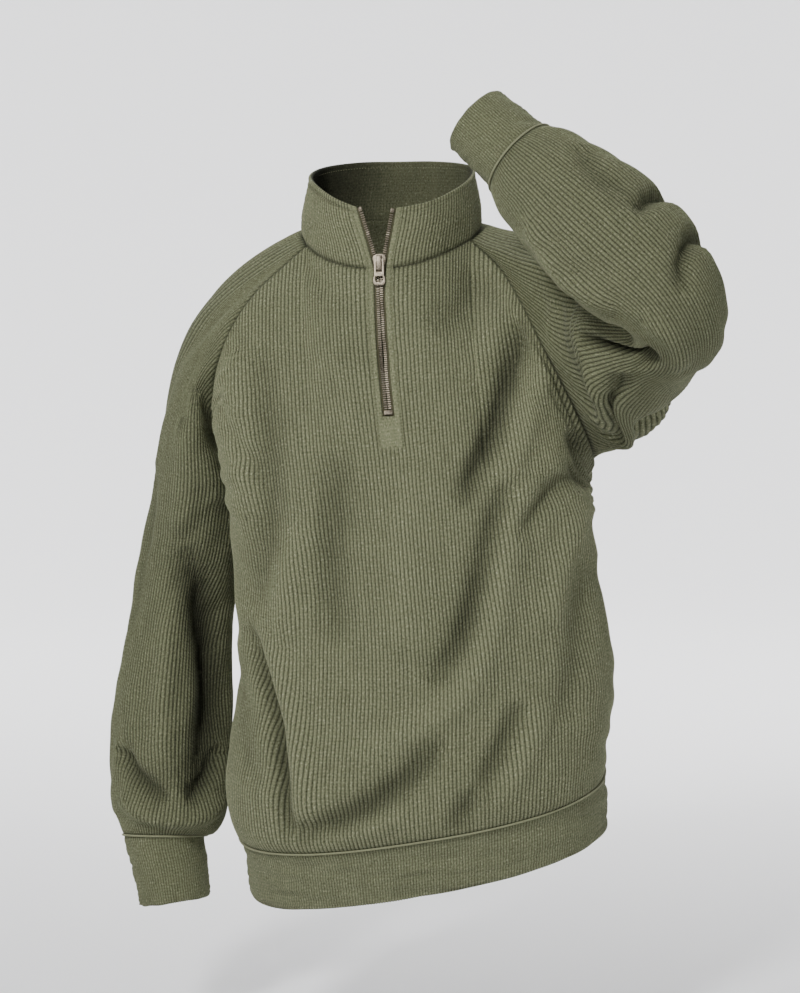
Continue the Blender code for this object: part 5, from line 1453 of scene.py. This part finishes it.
@dataclass
class Zip:
    """Tapes, teeth, stops, slider and pull tab along the slit and the collar's front edges.

    All in millimetres. `_back` values are measured from `inner` towards the cloth, `_depths` out of the
    cloth, and `_ends` along the zip from its ends. `tape_edge` holds the corners of the tape's inner edge,
    back and out. `top_stop_places` are a top stop's place and one ahead of it, below the upper end.
    `slider_reach` is how far below and above the slider the zip's direction is read, and `hinge` is the tab's
    axis on the slider, up and out.
    """

    body: Body
    collar: Collar
    half: float = 6.0
    gap: float = 0.15
    seam_gap: float = 0.3
    tape_ends: tuple = (1.2, 1.0)
    tape_points: int = 130
    tape_depths: tuple = (-1.9, -0.9)
    tape_edge: tuple = ((1.4, -1.9), (0.9, -1.7), (0.9, -1.1), (1.4, -0.9))
    cord_back: float = 1.1
    cord_depth: float = -0.9
    cord_radii: tuple = (1.0, 0.75)
    tooth_pitch: float = 2.3
    teeth_ends: tuple = (8.2, 6.4)
    tooth_back: float = 1.55
    tooth_depths: tuple = (-0.75, 0.95)
    tooth_bevel: float = 0.22
    stop_depths: tuple = (-0.3, 2.0)
    stop_ends: tuple = (1.6, 6.4)
    stop_half: float = 4.4
    stop_bevel: float = 0.7
    top_stop_half: float = 1.75
    top_stop_reach: float = 2.0
    top_stop_bevel: float = 0.5
    top_stop_back: float = 1.73
    top_stop_places: tuple = (3.5, 2.5)
    slider_above_seam: float = 5.0
    slider_reach: tuple = (10.0, 9.0)
    slider_bevel: float = 0.45
    plate_depths: tuple = (2.4, 3.7)
    under_depths: tuple = (-3.9, -2.6)
    wedge_depths: tuple = (-3.3, 3.1)
    flange_depths: tuple = (0.8, 3.1)
    flange_bevel: float = 0.2
    bridge_half: float = 2.5
    bridge_bevel: float = 0.5
    hinge: tuple = (2.1, 5.6)
    tab_half: float = 0.8
    tab_bevel: float = 0.32
    cutter_half: float = 3.0
    tab_lean: float = -2.0

    @property
    def inner(self) -> float:
        """Distance from a cloth's edge to just short of the zip's middle."""
        return self.half - self.gap

    def build(self) -> dict[str, bpy.types.Object]:
        """Makes all the pieces.

        Returns:
            The objects by name.
        """
        edges, seams = {}, []
        for side in Side:
            low, high = self.body.slit_edge(side), self.collar.front_edge(side)
            seams.append(run_lengths(low[0])[-1])
            edges[side] = ZipEdge(*(np.concatenate(pair) for pair in zip(low, high)))
        made = {}
        for side, edge in edges.items():
            made.update(self.side_pieces(side, edge))
        right, left = edges[Side.RIGHT], edges[Side.LEFT]
        spans = np.array([0.0, self.stop_ends[1]])
        base = (right.at(spans)[0] + left.at(spans)[0]) / 2
        frame = ZipFrame(base[0], base[1] - base[0], right.at(spans)[2].mean(axis=0))
        outline = block(self.stop_half, *self.stop_ends)
        stop = Bench.plate("bottom_stop", outline, *self.stop_depths, self.stop_bevel, 3)
        made["bottom_stop"] = Bench.settle(stop, frame.matrix())
        below, above = self.slider_reach
        spans = seams[0] + np.array([-below, self.slider_above_seam, self.slider_above_seam + above])
        line = (right.at(spans)[0] + left.at(spans)[0]) / 2
        frame = ZipFrame(line[1], line[2] - line[0], (right.at(spans)[2] + left.at(spans)[2]).mean(axis=0))
        made["slider"] = self.slider(frame)
        made["pull_tab"] = self.tab(frame)
        return made

    def side_pieces(self, side: Side, edge: ZipEdge) -> dict[str, bpy.types.Object]:
        """Makes one side's tape, cord, teeth and top stop.

        Args:
            side: Which side.
            edge: The side's edge.

        Returns:
            The objects by name.
        """
        made = {}
        first, last = self.tape_ends
        lengths = np.linspace(first, edge.run[-1] - last, self.tape_points)
        tape_under, tape_over = self.tape_depths
        edge_corners = [(self.inner - back, depth) for back, depth in self.tape_edge]
        section = [(self.seam_gap, tape_under), *edge_corners, (self.seam_gap, tape_over)]
        name = "tape_" + side.value
        made[name] = ribbon(name, *edge.at(lengths), section)
        wide, high = self.cord_radii
        cord = [(self.inner - self.cord_back + wide * math.cos(t), self.cord_depth + high * math.sin(t))
                for t in even_turns(CORD_CORNERS)]
        name = "cord_" + side.value
        made[name] = ribbon(name, *edge.at(lengths), cord)
        made["teeth_" + side.value] = self.teeth(side, edge)
        name = "top_stop_" + side.value
        outline = block(self.top_stop_half, -self.top_stop_reach, self.top_stop_reach)
        stop = Bench.plate(name, outline, *self.stop_depths, self.top_stop_bevel)
        below, ahead = (edge.run[-1] - down for down in self.top_stop_places)
        point, way, out = (table[0] for table in edge.at(np.array([below])))
        up = edge.at(np.array([ahead]))[0][0] - point
        frame = ZipFrame(point + way * (self.inner - self.top_stop_back), up, out)
        made[name] = Bench.settle(stop, frame.matrix())
        return made

    def teeth(self, side: Side, edge: ZipEdge) -> bpy.types.Object:
        """Makes one row of teeth from one tooth, modelled once."""
        tooth = Bench.plate("tooth", TOOTH, *self.tooth_depths, self.tooth_bevel, 1)
        first, last = self.teeth_ends
        start = first + (0.5 * self.tooth_pitch if side is Side.LEFT else 0.0)
        lengths = np.arange(start, edge.run[-1] - last, self.tooth_pitch)
        points, ways, normals = edge.at(lengths)
        places = frames_on(points + ways * (self.inner - self.tooth_back), ways, normals)
        return copies("teeth_" + side.value, tooth, places)

    def slider(self, frame: ZipFrame) -> bpy.types.Object:
        """Makes the slider: two plates, side flanges, the wedge between them and the bridge over them."""
        parts = [Bench.plate("slider", SLIDER_PLATE, *self.plate_depths, self.slider_bevel, 3),
                 Bench.plate("under", SLIDER_PLATE, *self.under_depths, self.slider_bevel, 3),
                 Bench.plate("wedge", SLIDER_WEDGE, *self.wedge_depths, 0.0)]
        for sign in (-1, 1):
            flange = [(sign * x, up) for x, up in SLIDER_FLANGE]
            parts.append(Bench.plate("flange", flange, *self.flange_depths, self.flange_bevel, 2))
        arch = Bench.plate("bridge", SLIDER_BRIDGE, -self.bridge_half, self.bridge_half, self.bridge_bevel, 3)
        arch.data.transform(frame.matrix().inverted() @ frame.matrix(stood=True))
        return Bench.settle(Bench.join([*parts, arch], "slider"), frame.matrix())

    def tab(self, frame: ZipFrame) -> bpy.types.Object:
        """Makes the pull tab with its window and its hole, hanging from the bridge."""
        shift = self.hinge[0]
        drawings = (("pull_tab", TAB_PLATE, self.tab_half), ("window", TAB_WINDOW, self.cutter_half),
                    ("hole", TAB_HOLE, self.cutter_half))
        plate, gap, eye = (Bench.plate(name, [(x, up - shift) for x, up in drawn], -depth, depth, 0.0)
                           for name, drawn, depth in drawings)
        Bench.cut(plate, gap)
        Bench.cut(plate, eye)
        Bench.apply(plate, "BEVEL", width=self.tab_bevel * MM, segments=3, limit_method="ANGLE")
        lean = math.radians(self.tab_lean)
        up, out = unit(frame.up), unit(frame.out)
        across = unit(np.cross(up, out))
        out = np.cross(across, up)
        hinge = frame.origin + up * self.hinge[0] + out * self.hinge[1]
        along_tab = up * math.cos(lean) + out * math.sin(lean)
        hung = ZipFrame(hinge, along_tab, out * math.cos(lean) - up * math.sin(lean))
        return Bench.settle(plate, hung.matrix())


# ---------------------------------------------------------------- stitches and cords
def walked(grid: Array, normals: Array, start: int, step: int, distance: float) -> tuple[Array, Array]:
    """Points and normals at a distance from a column of a grid, along its rows.

    Args:
        grid: The grid.
        normals: Its normals.
        start: The column to walk from.
        step: 1 towards higher columns, -1 towards lower ones.
        distance: How far to walk, in millimetres.

    Returns:
        One point and one normal for each row.
    """
    most_columns = 60
    columns = np.arange(start, start + step * most_columns, step)
    columns = columns[(columns >= 0) & (columns < grid.shape[1])]
    points, outs = [], []
    for row in range(len(grid)):
        run = run_lengths(grid[row, columns])
        points.append(read_at(run, grid[row, columns], np.array([distance]))[0])
        outs.append(read_at(run, normals[row, columns], np.array([distance]))[0])
    return np.array(points), unit(outs)


@dataclass
class Stitching:
    """Rows of lockstitches that lie in the cloth's small grooves."""

    length: float = 2.3
    pitch: float = 3.2
    radius: float = 0.34
    look_ahead: float = 0.8

    def places(self, points: Array, normals: Array, depth: float) -> list[Matrix]:
        """Places of the stitches along a line of points, at a height over it."""
        run = run_lengths(points)
        at = np.arange(self.pitch / 2, run[-1] - self.pitch / 2, self.pitch)
        here, ahead = read_at(run, points, at), read_at(run, points, at + self.look_ahead)
        outs = unit(read_at(run, normals, at))
        return frames_on(here + outs * depth, ahead - here, outs)

    def build(self, name: str, lines: Sequence[tuple[Array, Array, float]]) -> bpy.types.Object:
        """Makes one object of all the stitches on some lines of points, normals and heights."""
        bpy.ops.object.select_all(action="DESELECT")
        bpy.ops.mesh.primitive_uv_sphere_add(segments=6, ring_count=4, radius=1.0)
        stitch = bpy.context.object
        size = (self.length / 2 * MM, self.radius * MM, self.radius * MM, 1.0)
        stitch.data.transform(Matrix.Diagonal(size))
        places = [place for line in lines for place in self.places(*line)]
        return copies(name, stitch, places)


def tube(name: str, points: Array, normals: Array, radius: float) -> bpy.types.Object:
    """A round cord laid along a line of points."""
    ways = unit(np.gradient(points, axis=0))
    side = unit(np.cross(normals, ways))
    section = [(radius * math.cos(t), radius * math.sin(t)) for t in even_turns(CORD_CORNERS)]
    return ribbon(name, points, side, normals, section)


# ---------------------------------------------------------------- shader maths
class Maths:
    """A socket of a material's nodes, on which arithmetic adds nodes."""

    def __init__(self, bench: "NodeBench", socket: bpy.types.NodeSocket | float) -> None:
        """Keeps the bench and the socket."""
        self.bench = bench
        self.socket = socket

    def _with(self, operation: str, *others: "Maths | float") -> "Maths":
        """Adds one Math node over this socket and others."""
        sockets = [self.socket, *(other.socket if isinstance(other, Maths) else other for other in others)]
        return self.bench.add("ShaderNodeMath", {"operation": operation}, dict(enumerate(sockets)))

    def __add__(self, other: "Maths | float") -> "Maths":
        """Sum."""
        return self._with("ADD", other)

    __radd__ = __add__

    def __mul__(self, other: "Maths | float") -> "Maths":
        """Product."""
        return self._with("MULTIPLY", other)

    __rmul__ = __mul__

    def sine(self) -> "Maths":
        """Sine."""
        return self._with("SINE")

    def clamped(self) -> "Maths":
        """Kept between 0 and 1."""
        return self._with("MAXIMUM", 0.0)._with("MINIMUM", 1.0)


class NodeBench:
    """Builds the nodes of one material."""

    def __init__(self, name: str) -> None:
        """Starts a material with its Principled shader alone."""
        self.material = bpy.data.materials.new(name)
        self.material.use_nodes = True
        self.tree = self.material.node_tree
        self.shader = self.tree.nodes["Principled BSDF"]

    def add(self, kind: str, settings: dict, sockets: dict, out: int | str = 0) -> Maths:
        """Adds one node.

        Args:
            kind: The node's type.
            settings: Its properties, set first; "stops" holds a ramp's places and colours.
            sockets: Values or links of its inputs, by name or number.
            out: The output to hand back.

        Returns:
            The output, ready for arithmetic.
        """
        node = self.tree.nodes.new(kind)
        for key, value in settings.items():
            if key == "stops":
                ramp = node.color_ramp
                while len(ramp.elements) < len(value):
                    ramp.elements.new(0.5)
                for element, (place, colour) in zip(ramp.elements, value):
                    element.position, element.color = place, (*colour, 1.0)
            else:
                setattr(node, key, value)
        for key, value in sockets.items():
            value = value.socket if isinstance(value, Maths) else value
            if isinstance(value, bpy.types.NodeSocket):
                self.tree.links.new(value, node.inputs[key])
            else:
                node.inputs[key].default_value = value
        return Maths(self, node.outputs[out])

    def mix(self, factor: Maths | float, one: Maths | tuple, two: Maths | tuple, blend: str = "MIX") -> Maths:
        """Mixes two colours."""
        first_colour, second_colour, mixed_colour = 6, 7, 2  # numbers of the node's colour sockets
        one, two = (colour if isinstance(colour, Maths) else (*colour, 1.0) for colour in (one, two))
        return self.add("ShaderNodeMix", {"data_type": "RGBA", "blend_type": blend},
                        {0: factor, first_colour: one, second_colour: two}, mixed_colour)

    def noise(self, place: Maths, scale: float, detail: float, roughness: float = 0.5) -> Maths:
        """Soft noise over a place."""
        sockets = {"Vector": place, "Scale": scale, "Detail": detail, "Roughness": roughness}
        return self.add("ShaderNodeTexNoise", {}, sockets)

    def ranged(self, value: Maths, low: float, high: float, to_low: float, to_high: float) -> Maths:
        """Moves a value from one range to another, kept inside it."""
        return self.add("ShaderNodeMapRange", {}, {0: value, 1: low, 2: high, 3: to_low, 4: to_high})

    def grey(self, level: Maths) -> Maths:
        """A grey of a level from 0 to 1."""
        return self.add("ShaderNodeCombineXYZ", {}, {0: level, 1: level, 2: level})

    def bump(self, height: Maths, strength: float, distance: float) -> Maths:
        """Normals of a small relief."""
        sockets = {"Strength": strength, "Distance": distance, "Height": height}
        return self.add("ShaderNodeBump", {}, sockets)

    def feed(self, name: str, value: Maths | float | tuple) -> None:
        """Links or sets an input of the shader."""
        if isinstance(value, Maths):
            self.tree.links.new(value.socket, self.shader.inputs[name])
        else:
            self.shader.inputs[name].default_value = value


@dataclass(frozen=True)
class YarnFinish:
    """Heathered knit: base colours, flecks and the small stitches along each rib.

    `groove` is the brightness left between ribs, painted shade in the grooves, `stitch` a stitch's length in
    millimetres, and each `_scale` a noise's turns in a metre of cloth, across the ribs and along them. A
    place is as bright as `least_level` and the shares of random shade, stitches and the painted light on fold
    crests together, times the painted shade in its fold's trough. The painted shade in troughs and the
    painted light on crests are full at folds of `trough_depth` and `crest_height` millimetres.
    """

    name: str
    colour: tuple
    light: tuple
    dark: tuple
    groove: float = 0.24
    stitch: float = 3.3
    fleck: float = 1.0
    fleck_scale: tuple = (620.0, 360.0, 1.0)
    fleck_detail: float = 3.0
    fleck_roughness: float = 0.75
    fleck_stops: tuple = (0.30, 0.47, 0.56, 0.72)
    shade_scale: tuple = (120.0, 26.0, 1.0)
    shade_detail: float = 4.0
    shade_roughness: float = 0.6
    stitch_wobble: float = 2.4
    least_level: float = 0.62
    shade_share: float = 0.46
    stitch_share: float = 0.14
    painted_crest_light: float = 0.16
    crest_height: float = 10.0
    trough_depth: float = 24.0
    painted_trough_shade: float = 0.12
    roughness: float = 0.92
    roughness_range: float = 0.12
    sheen: float = 0.03
    sheen_roughness: float = 0.6
    specular: float = 0.1
    relief_shares: tuple = (0.55, 0.45)
    relief_strength: float = 0.55
    relief_height: float = 0.0007

    def make(self) -> bpy.types.Material:
        """Builds the material.

        Returns:
            The material, which reads the cloth's own UV map and attributes.
        """
        bench = NodeBench(self.name)
        cloth = bench.add("ShaderNodeUVMap", {"uv_map": "cloth"}, {})
        up = bench.add("ShaderNodeSeparateXYZ", {}, {0: cloth}, 1)
        rib = bench.add("ShaderNodeAttribute", {"attribute_name": "rib"}, {}, "Fac")
        fold = bench.add("ShaderNodeAttribute", {"attribute_name": "fold"}, {}, "Fac")
        fine = bench.add("ShaderNodeMapping", {}, {0: cloth, 3: self.fleck_scale})
        flecks = bench.noise(fine, 1.0, self.fleck_detail, self.fleck_roughness)
        broad = bench.add("ShaderNodeMapping", {}, {0: cloth, 3: self.shade_scale})
        shade = bench.noise(broad, 1.0, self.shade_detail, self.shade_roughness)
        wave = (up * (2 * math.pi / (self.stitch * MM)) + flecks * self.stitch_wobble).sine()
        loops = bench.ranged(wave, -1.0, 1.0, 0.0, 1.0)
        stops = tuple(zip(self.fleck_stops, (self.dark, self.colour, self.colour, self.light)))
        spots = bench.add("ShaderNodeValToRGB", {"stops": stops}, {0: flecks})
        tone = bench.mix(self.fleck, self.colour, spots)
        # painted shade in the rib grooves: the colour darkens from each crest towards its groove
        depth = (rib * (1 - self.groove) + self.groove).clamped()
        groove_shaded_colour = bench.mix(1.0, tone, bench.grey(depth), "MULTIPLY")
        # painted shade in the troughs of folds and painted light on their crests, read from the fold
        # attribute
        painted_crease_shade = bench.ranged(fold, -self.trough_depth, 0.0, self.painted_trough_shade, 1.0)
        crest = bench.ranged(fold, 0.0, self.crest_height, 0.0, self.painted_crest_light)
        level = shade * self.shade_share + loops * self.stitch_share + crest + self.least_level
        bright = bench.grey((level * painted_crease_shade).clamped())
        bench.feed("Base Color", bench.mix(1.0, groove_shaded_colour, bright, "MULTIPLY"))
        least = self.roughness - self.roughness_range / 2
        bench.feed("Roughness", (shade * self.roughness_range + least).clamped())
        bench.feed("Sheen Weight", self.sheen)
        bench.feed("Sheen Roughness", self.sheen_roughness)
        bench.feed("Specular IOR Level", self.specular)
        fleck_relief, stitch_relief = self.relief_shares
        relief = flecks * fleck_relief + loops * stitch_relief
        bench.feed("Normal", bench.bump(relief, self.relief_strength, self.relief_height))
        return bench.material


@dataclass(frozen=True)
class MetalFinish:
    """Aged brass: dull, with patches that are worn brighter and rougher."""

    name: str = "zip_metal"
    colour: tuple = (0.15, 0.125, 0.09)
    worn: tuple = (0.34, 0.30, 0.235)
    patch_scale: float = 900.0
    patch_detail: float = 3.0
    patch_range: tuple = (0.35, 0.7)
    roughness: float = 0.4
    worn_roughness: float = 0.22

    def make(self) -> bpy.types.Material:
        """Builds the material."""
        bench = NodeBench(self.name)
        place = bench.add("ShaderNodeTexCoord", {}, {}, "Object")
        patches = bench.noise(place, self.patch_scale, self.patch_detail)
        share = bench.ranged(patches, *self.patch_range, 0.0, 1.0)
        bench.feed("Base Color", bench.mix(share, self.colour, self.worn))
        bench.feed("Metallic", 1.0)
        bench.feed("Roughness", share * self.worn_roughness + self.roughness)
        return bench.material


@dataclass(frozen=True)
class TapeFinish:
    """Woven tape, sewing thread or a seam's ridge: a fine weave of two close colours."""

    name: str
    colour: tuple
    dark: tuple
    scale: float = 2200.0
    detail: float = 2.0
    roughness: float = 0.85
    specular: float = 0.2
    relief_strength: float = 0.4
    relief_height: float = 0.0004

    def make(self) -> bpy.types.Material:
        """Builds the material."""
        bench = NodeBench(self.name)
        place = bench.add("ShaderNodeTexCoord", {}, {}, "Object")
        weave = bench.noise(place, self.scale, self.detail)
        bench.feed("Base Color", bench.mix(weave, self.dark, self.colour))
        bench.feed("Roughness", self.roughness)
        bench.feed("Specular IOR Level", self.specular)
        bench.feed("Normal", bench.bump(weave, self.relief_strength, self.relief_height))
        return bench.material


def srgb(*values: float) -> tuple:
    """Linear colour of 0 to 255 values."""
    return tuple((v / 255 / 12.92) if v <= 10 else ((v / 255 + 0.055) / 1.055)**2.4 for v in values)


# ---------------------------------------------------------------- studio
@dataclass(frozen=True)
class SoftBox:
    """A round area light: place, point that it faces and width in metres, and power in watts."""

    name: str
    place: tuple
    aim: tuple
    width: float
    power: float

    def build(self) -> None:
        """Makes the light."""
        lamp = bpy.data.lights.new(self.name, "AREA")
        lamp.shape, lamp.size, lamp.energy = "DISK", self.width, self.power
        holder = bpy.data.objects.new(self.name, lamp)
        holder.location = self.place
        holder.rotation_euler = (Vector(self.aim) - Vector(self.place)).to_track_quat("-Z", "Y").to_euler()
        bpy.context.scene.collection.objects.link(holder)


@dataclass(frozen=True)
class Studio:
    """A pale round sweep, soft lights and the camera, in metres and degrees."""

    floor: float = -0.86
    flat_radius: float = 3.6
    wall_radius: float = 7.0
    wall_height: float = 7.0
    bend_steps: int = 12
    corners: int = 96
    paper: tuple = (0.86, 0.86, 0.87, 1.0)
    paper_roughness: float = 0.95
    paper_specular: float = 0.1
    air: tuple = (0.93, 0.95, 1.0, 1.0)
    air_strength: float = 0.09
    boxes: tuple = (
        SoftBox("key", (-1.1, -2.9, 1.9), (0.0, 0.0, -0.3), 0.7, 122),
        SoftBox("fill", (1.9, -2.9, 0.7), (0.0, 0.0, -0.3), 1.2, 12),
        SoftBox("rim", (1.4, 2.6, 1.4), (0.0, 0.0, -0.3), 1.6, 16),
        SoftBox("wall_a", (-2.2, 1.6, 2.4), (-1.2, 7.0, 0.2), 1.6, 238),
        SoftBox("wall_b", (2.2, 1.6, 2.4), (1.2, 7.0, 0.2), 1.6, 238),
        SoftBox("floor", (0.0, 1.5, 3.0), (0.0, 1.3, -0.86), 1.0, 78),
    )
    target: tuple = (0.0085, 0.0, -0.277)
    distance: float = 2.95
    azimuth: float = 5.0
    elevation: float = 5.0
    view_height: float = 1.0526
    clip: tuple = (0.05, 60)

    def build(self) -> None:
        """Makes the floor, the lights, the world and the camera."""
        self.sweep()
        self.lights()
        camera = bpy.data.cameras.new("camera")
        holder = bpy.data.objects.new("camera", camera)
        bpy.context.scene.collection.objects.link(holder)
        a, e = math.radians(self.azimuth), math.radians(self.elevation)
        back = Vector((math.sin(a) * math.cos(e), -math.cos(a) * math.cos(e), math.sin(e)))
        holder.location = Vector(self.target) + back * self.distance
        holder.rotation_euler = (-back).to_track_quat("-Z", "Y").to_euler()
        camera.sensor_fit = "VERTICAL"
        camera.sensor_height = camera.sensor_width
        camera.angle = 2 * math.atan(self.view_height / 2 / self.distance)
        camera.clip_start, camera.clip_end = self.clip
        bpy.context.scene.camera = holder

    def sweep(self) -> None:
        """Makes the floor, which curves up into a round wall."""
        profile = [(0.0, 0.0), (self.flat_radius, 0.0)]
        reach = self.wall_radius - self.flat_radius
        for step in range(1, self.bend_steps + 1):
            turn = math.pi / 2 * step / self.bend_steps
            profile.append((self.flat_radius + reach * math.sin(turn), reach * (1 - math.cos(turn))))
        profile.append((self.wall_radius, self.wall_height))
        turns = even_turns(self.corners)
        points = [(r * math.cos(t), r * math.sin(t), self.floor + z) for r, z in profile[1:] for t in turns]
        points.append((0, 0, self.floor))
        count = self.corners
        faces = [(len(points) - 1, k, (k + 1) % count) for k in range(count)]
        for row in range(len(profile) - 2):
            low, high = row * count, (row + 1) * count
            for k in range(count):
                after = (k + 1) % count
                faces.append((low + k, high + k, high + after, low + after))
        mesh = bpy.data.meshes.new("sweep")
        mesh.from_pydata(points, [], faces)
        mesh.shade_smooth()
        floor = bpy.data.objects.new("sweep", mesh)
        bpy.context.scene.collection.objects.link(floor)
        bench = NodeBench("paper")
        bench.feed("Base Color", self.paper)
        bench.feed("Roughness", self.paper_roughness)
        bench.feed("Specular IOR Level", self.paper_specular)
        mesh.materials.append(bench.material)

    def lights(self) -> None:
        """Makes the soft boxes and the world's even light."""
        world = bpy.data.worlds.new("studio")
        world.use_nodes = True
        sockets = world.node_tree.nodes["Background"].inputs
        sockets["Color"].default_value = self.air
        sockets["Strength"].default_value = self.air_strength
        bpy.context.scene.world = world
        for box in self.boxes:
            box.build()


# ---------------------------------------------------------------- the sweater
CLOTH_SHEETS = {
    "front_cloth": ("front", (0.62, 0.66), 0.350),
    "back_cloth": ("back", (0.50, 0.64), 0.270),
    "sleeve_right_cloth": ("sleeve_right", (0.46, 0.74), 0.260),
    "sleeve_left_cloth": ("sleeve_left", (0.46, 0.74), 0.260),
    "cuff_right_cloth": ("cuff_right", (0.28, 0.08), None),
    "cuff_left_cloth": ("cuff_left", (0.26, 0.065), None),
    "waistband_cloth": ("waistband", (1.12, 0.062), None),
    "collar_cloth": ("collar", (0.56, 0.07), 0.036),
}
ZIP_NODES = {
    "tape_right": "zip_tape_right", "tape_left": "zip_tape_left", "teeth_right": "zip_teeth_right",
    "teeth_left": "zip_teeth_left", "bottom_stop": "bottom_stop", "top_stop_right": "top_stop_right",
    "top_stop_left": "top_stop_left", "slider": "slider", "pull_tab": "pull_tab",
}


class Sweater:
    """The whole garment: builds its pieces, gives them their finishes and ties them to the solids.

    Each `_rise` is a height in millimetres: of the seam cords' middle lines, and of the stitches on the plain
    strips, round the rim, inside it, and in the two rows of the box under the slit. The box's rows reach
    `box_columns` past the slit, the rim's stitches stop `rim_end_columns` short of its ends, and `strip_rows`
    are the collar's rows that are stitched beside the zip.
    """

    cord_radius = 1.15
    cord_rise = 1.2
    strip_stitch_rise = 0.2
    rim_stitch_rise = 0.35
    inner_stitch_rise = 0.1
    box_stitch_rise = 0.45
    box_rows = (0, 2)
    box_columns = 8
    rim_end_columns = 24
    strip_rows = slice(1, -3)

    def __init__(self) -> None:
        """Sets up the forms and the knits."""
        self.torso = TorsoForm()
        self.ribs = RibKnit()
        self.trim = RibKnit(pitch=3.1, rise=0.7, seam_dip=0.9)
        self.body = Body(self.torso, self.ribs)
        self.collar = Collar(self.torso, RibKnit(pitch=3.5, rise=0.95))
        self.finishes = {
            "knit": YarnFinish("knit_yarn", srgb(124, 127, 98), srgb(176, 178, 148), srgb(76, 80, 54)).make(),
            # the sleeves and cuffs get darker copies of the knit's and the trim's yarn, painted shade; the
            # sleeves' fold troughs are painted darker too
            "sleeve": YarnFinish("sleeve_yarn_shaded", srgb(111, 114, 87), srgb(158, 160, 131), srgb(64, 68, 45),
                                 painted_trough_shade=0.05).make(),
            "rib_trim": YarnFinish("trim_yarn", srgb(116, 119, 92), srgb(166, 168, 138), srgb(72, 76, 52),
                                   groove=0.42).make(),
            "cuff": YarnFinish("cuff_yarn_shaded", srgb(110, 113, 86), srgb(158, 160, 130), srgb(68, 72, 48),
                               groove=0.42).make(),
            "seam": TapeFinish("seam_thread", srgb(136, 138, 110), srgb(104, 106, 80), 900.0).make(),
            "zip_tape": TapeFinish("tape_weave", srgb(92, 90, 68), srgb(52, 52, 36)).make(),
            "zip_metal": MetalFinish().make(),
            "thread": TapeFinish("thread", srgb(128, 130, 102), srgb(92, 94, 70), 3000.0).make(),
        }

    def dress(self, piece: bpy.types.Object, slot: str, node: str | None, body: str = "sweater",
              finish: str | None = None) -> None:
        """Gives a piece its finish, the slot's own unless named, parents it to the body that it rides on and
        hides the part that it replaces.
        """
        piece.data.materials.clear()
        piece.data.materials.append(self.finishes[finish or slot])
        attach(piece, body)
        if node:
            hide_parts(node)
        LOG.info("%s: %d faces", piece.name, len(piece.data.polygons))

    def build(self) -> None:
        """Makes the cloth, the zip and the stitches."""
        cloth = self.body.build()
        edges = {"waist_cord": [np.concatenate([table[face][0][cut] for face, cut in self.body.halves])
                                for table in (self.body.grids, self.body.normals)]}
        for form in (HangingForm(), RaisedForm()):
            sleeve = Sleeve(self.torso, form, self.ribs, self.trim)
            cloth += sleeve.build()
            edges["cuff_cord_" + form.side.value] = sleeve.low_edge
        cloth += [Waistband(self.torso, self.trim).build(), self.collar.build()]
        for piece in cloth:
            node, flat, area = CLOTH_SHEETS[piece.name]
            slot = "rib_trim" if "cuff" in node or "band" in node else "knit"
            kind = node.split("_")[0]
            self.dress(piece, slot, node, finish=kind if kind in self.finishes else None)
        for name, piece in Zip(self.body, self.collar).build().items():
            slot = "zip_tape" if name.startswith(("tape", "cord")) else "zip_metal"
            self.dress(piece, slot, ZIP_NODES.get(name), "tab" if name == "pull_tab" else "sweater")
        for name, (points, outs) in edges.items():
            cord = tube(name, points + outs * self.cord_rise, outs, self.cord_radius)
            self.dress(cord, "rib_trim", None, finish="seam")
        self.stitch()

    def stitch(self) -> None:
        """Makes the topstitching beside the zip, round the collar's rim and under the slit."""
        body, collar = self.body, self.collar
        grid, normals = body.grids[Face.FRONT], body.normals[Face.FRONT]
        left, right = body.middle + body.slit_cells, body.middle - body.slit_cells
        low = body.box_row
        lines = []
        height = body.placket_rise - body.groove + self.strip_stitch_rise
        for column, step in ((right, -1), (left, 1)):
            lines.append((*walked(grid[low:], normals[low:], column, step, body.stitch_at), height))
        points, outs = collar.grid[self.strip_rows], collar.normals[self.strip_rows]
        height = collar.strip_rise() - collar.groove + self.strip_stitch_rise
        for column, step in ((0, 1), (points.shape[1] - 1, -1)):
            lines.append((*walked(points, outs, column, step, collar.stitch_at), height))
        points, outs = collar.grid.transpose(1, 0, 2), collar.normals.transpose(1, 0, 2)
        points, outs = walked(points, outs, points.shape[1] - 1, -1, collar.rim_stitch_at)
        rim = slice(self.rim_end_columns, -self.rim_end_columns)
        for height in (self.rim_stitch_rise, -collar.wall - self.inner_stitch_rise):
            lines.append((points[rim], outs[rim], height))
        span = slice(right - self.box_columns, left + self.box_columns + 1)
        for row in self.box_rows:
            lines.append((grid[low + row, span], normals[low + row, span], self.box_stitch_rise))
        self.dress(Stitching().build("topstitching", lines), "knit", None, finish="thread")


def main() -> None:
    """Builds the sweater's pieces in order, dresses them and sets the studio."""
    logging.basicConfig(level=logging.INFO, format="%(message)s")
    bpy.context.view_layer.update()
    Sweater().build()
    Studio().build()


if __name__ == "__main__":
    main()
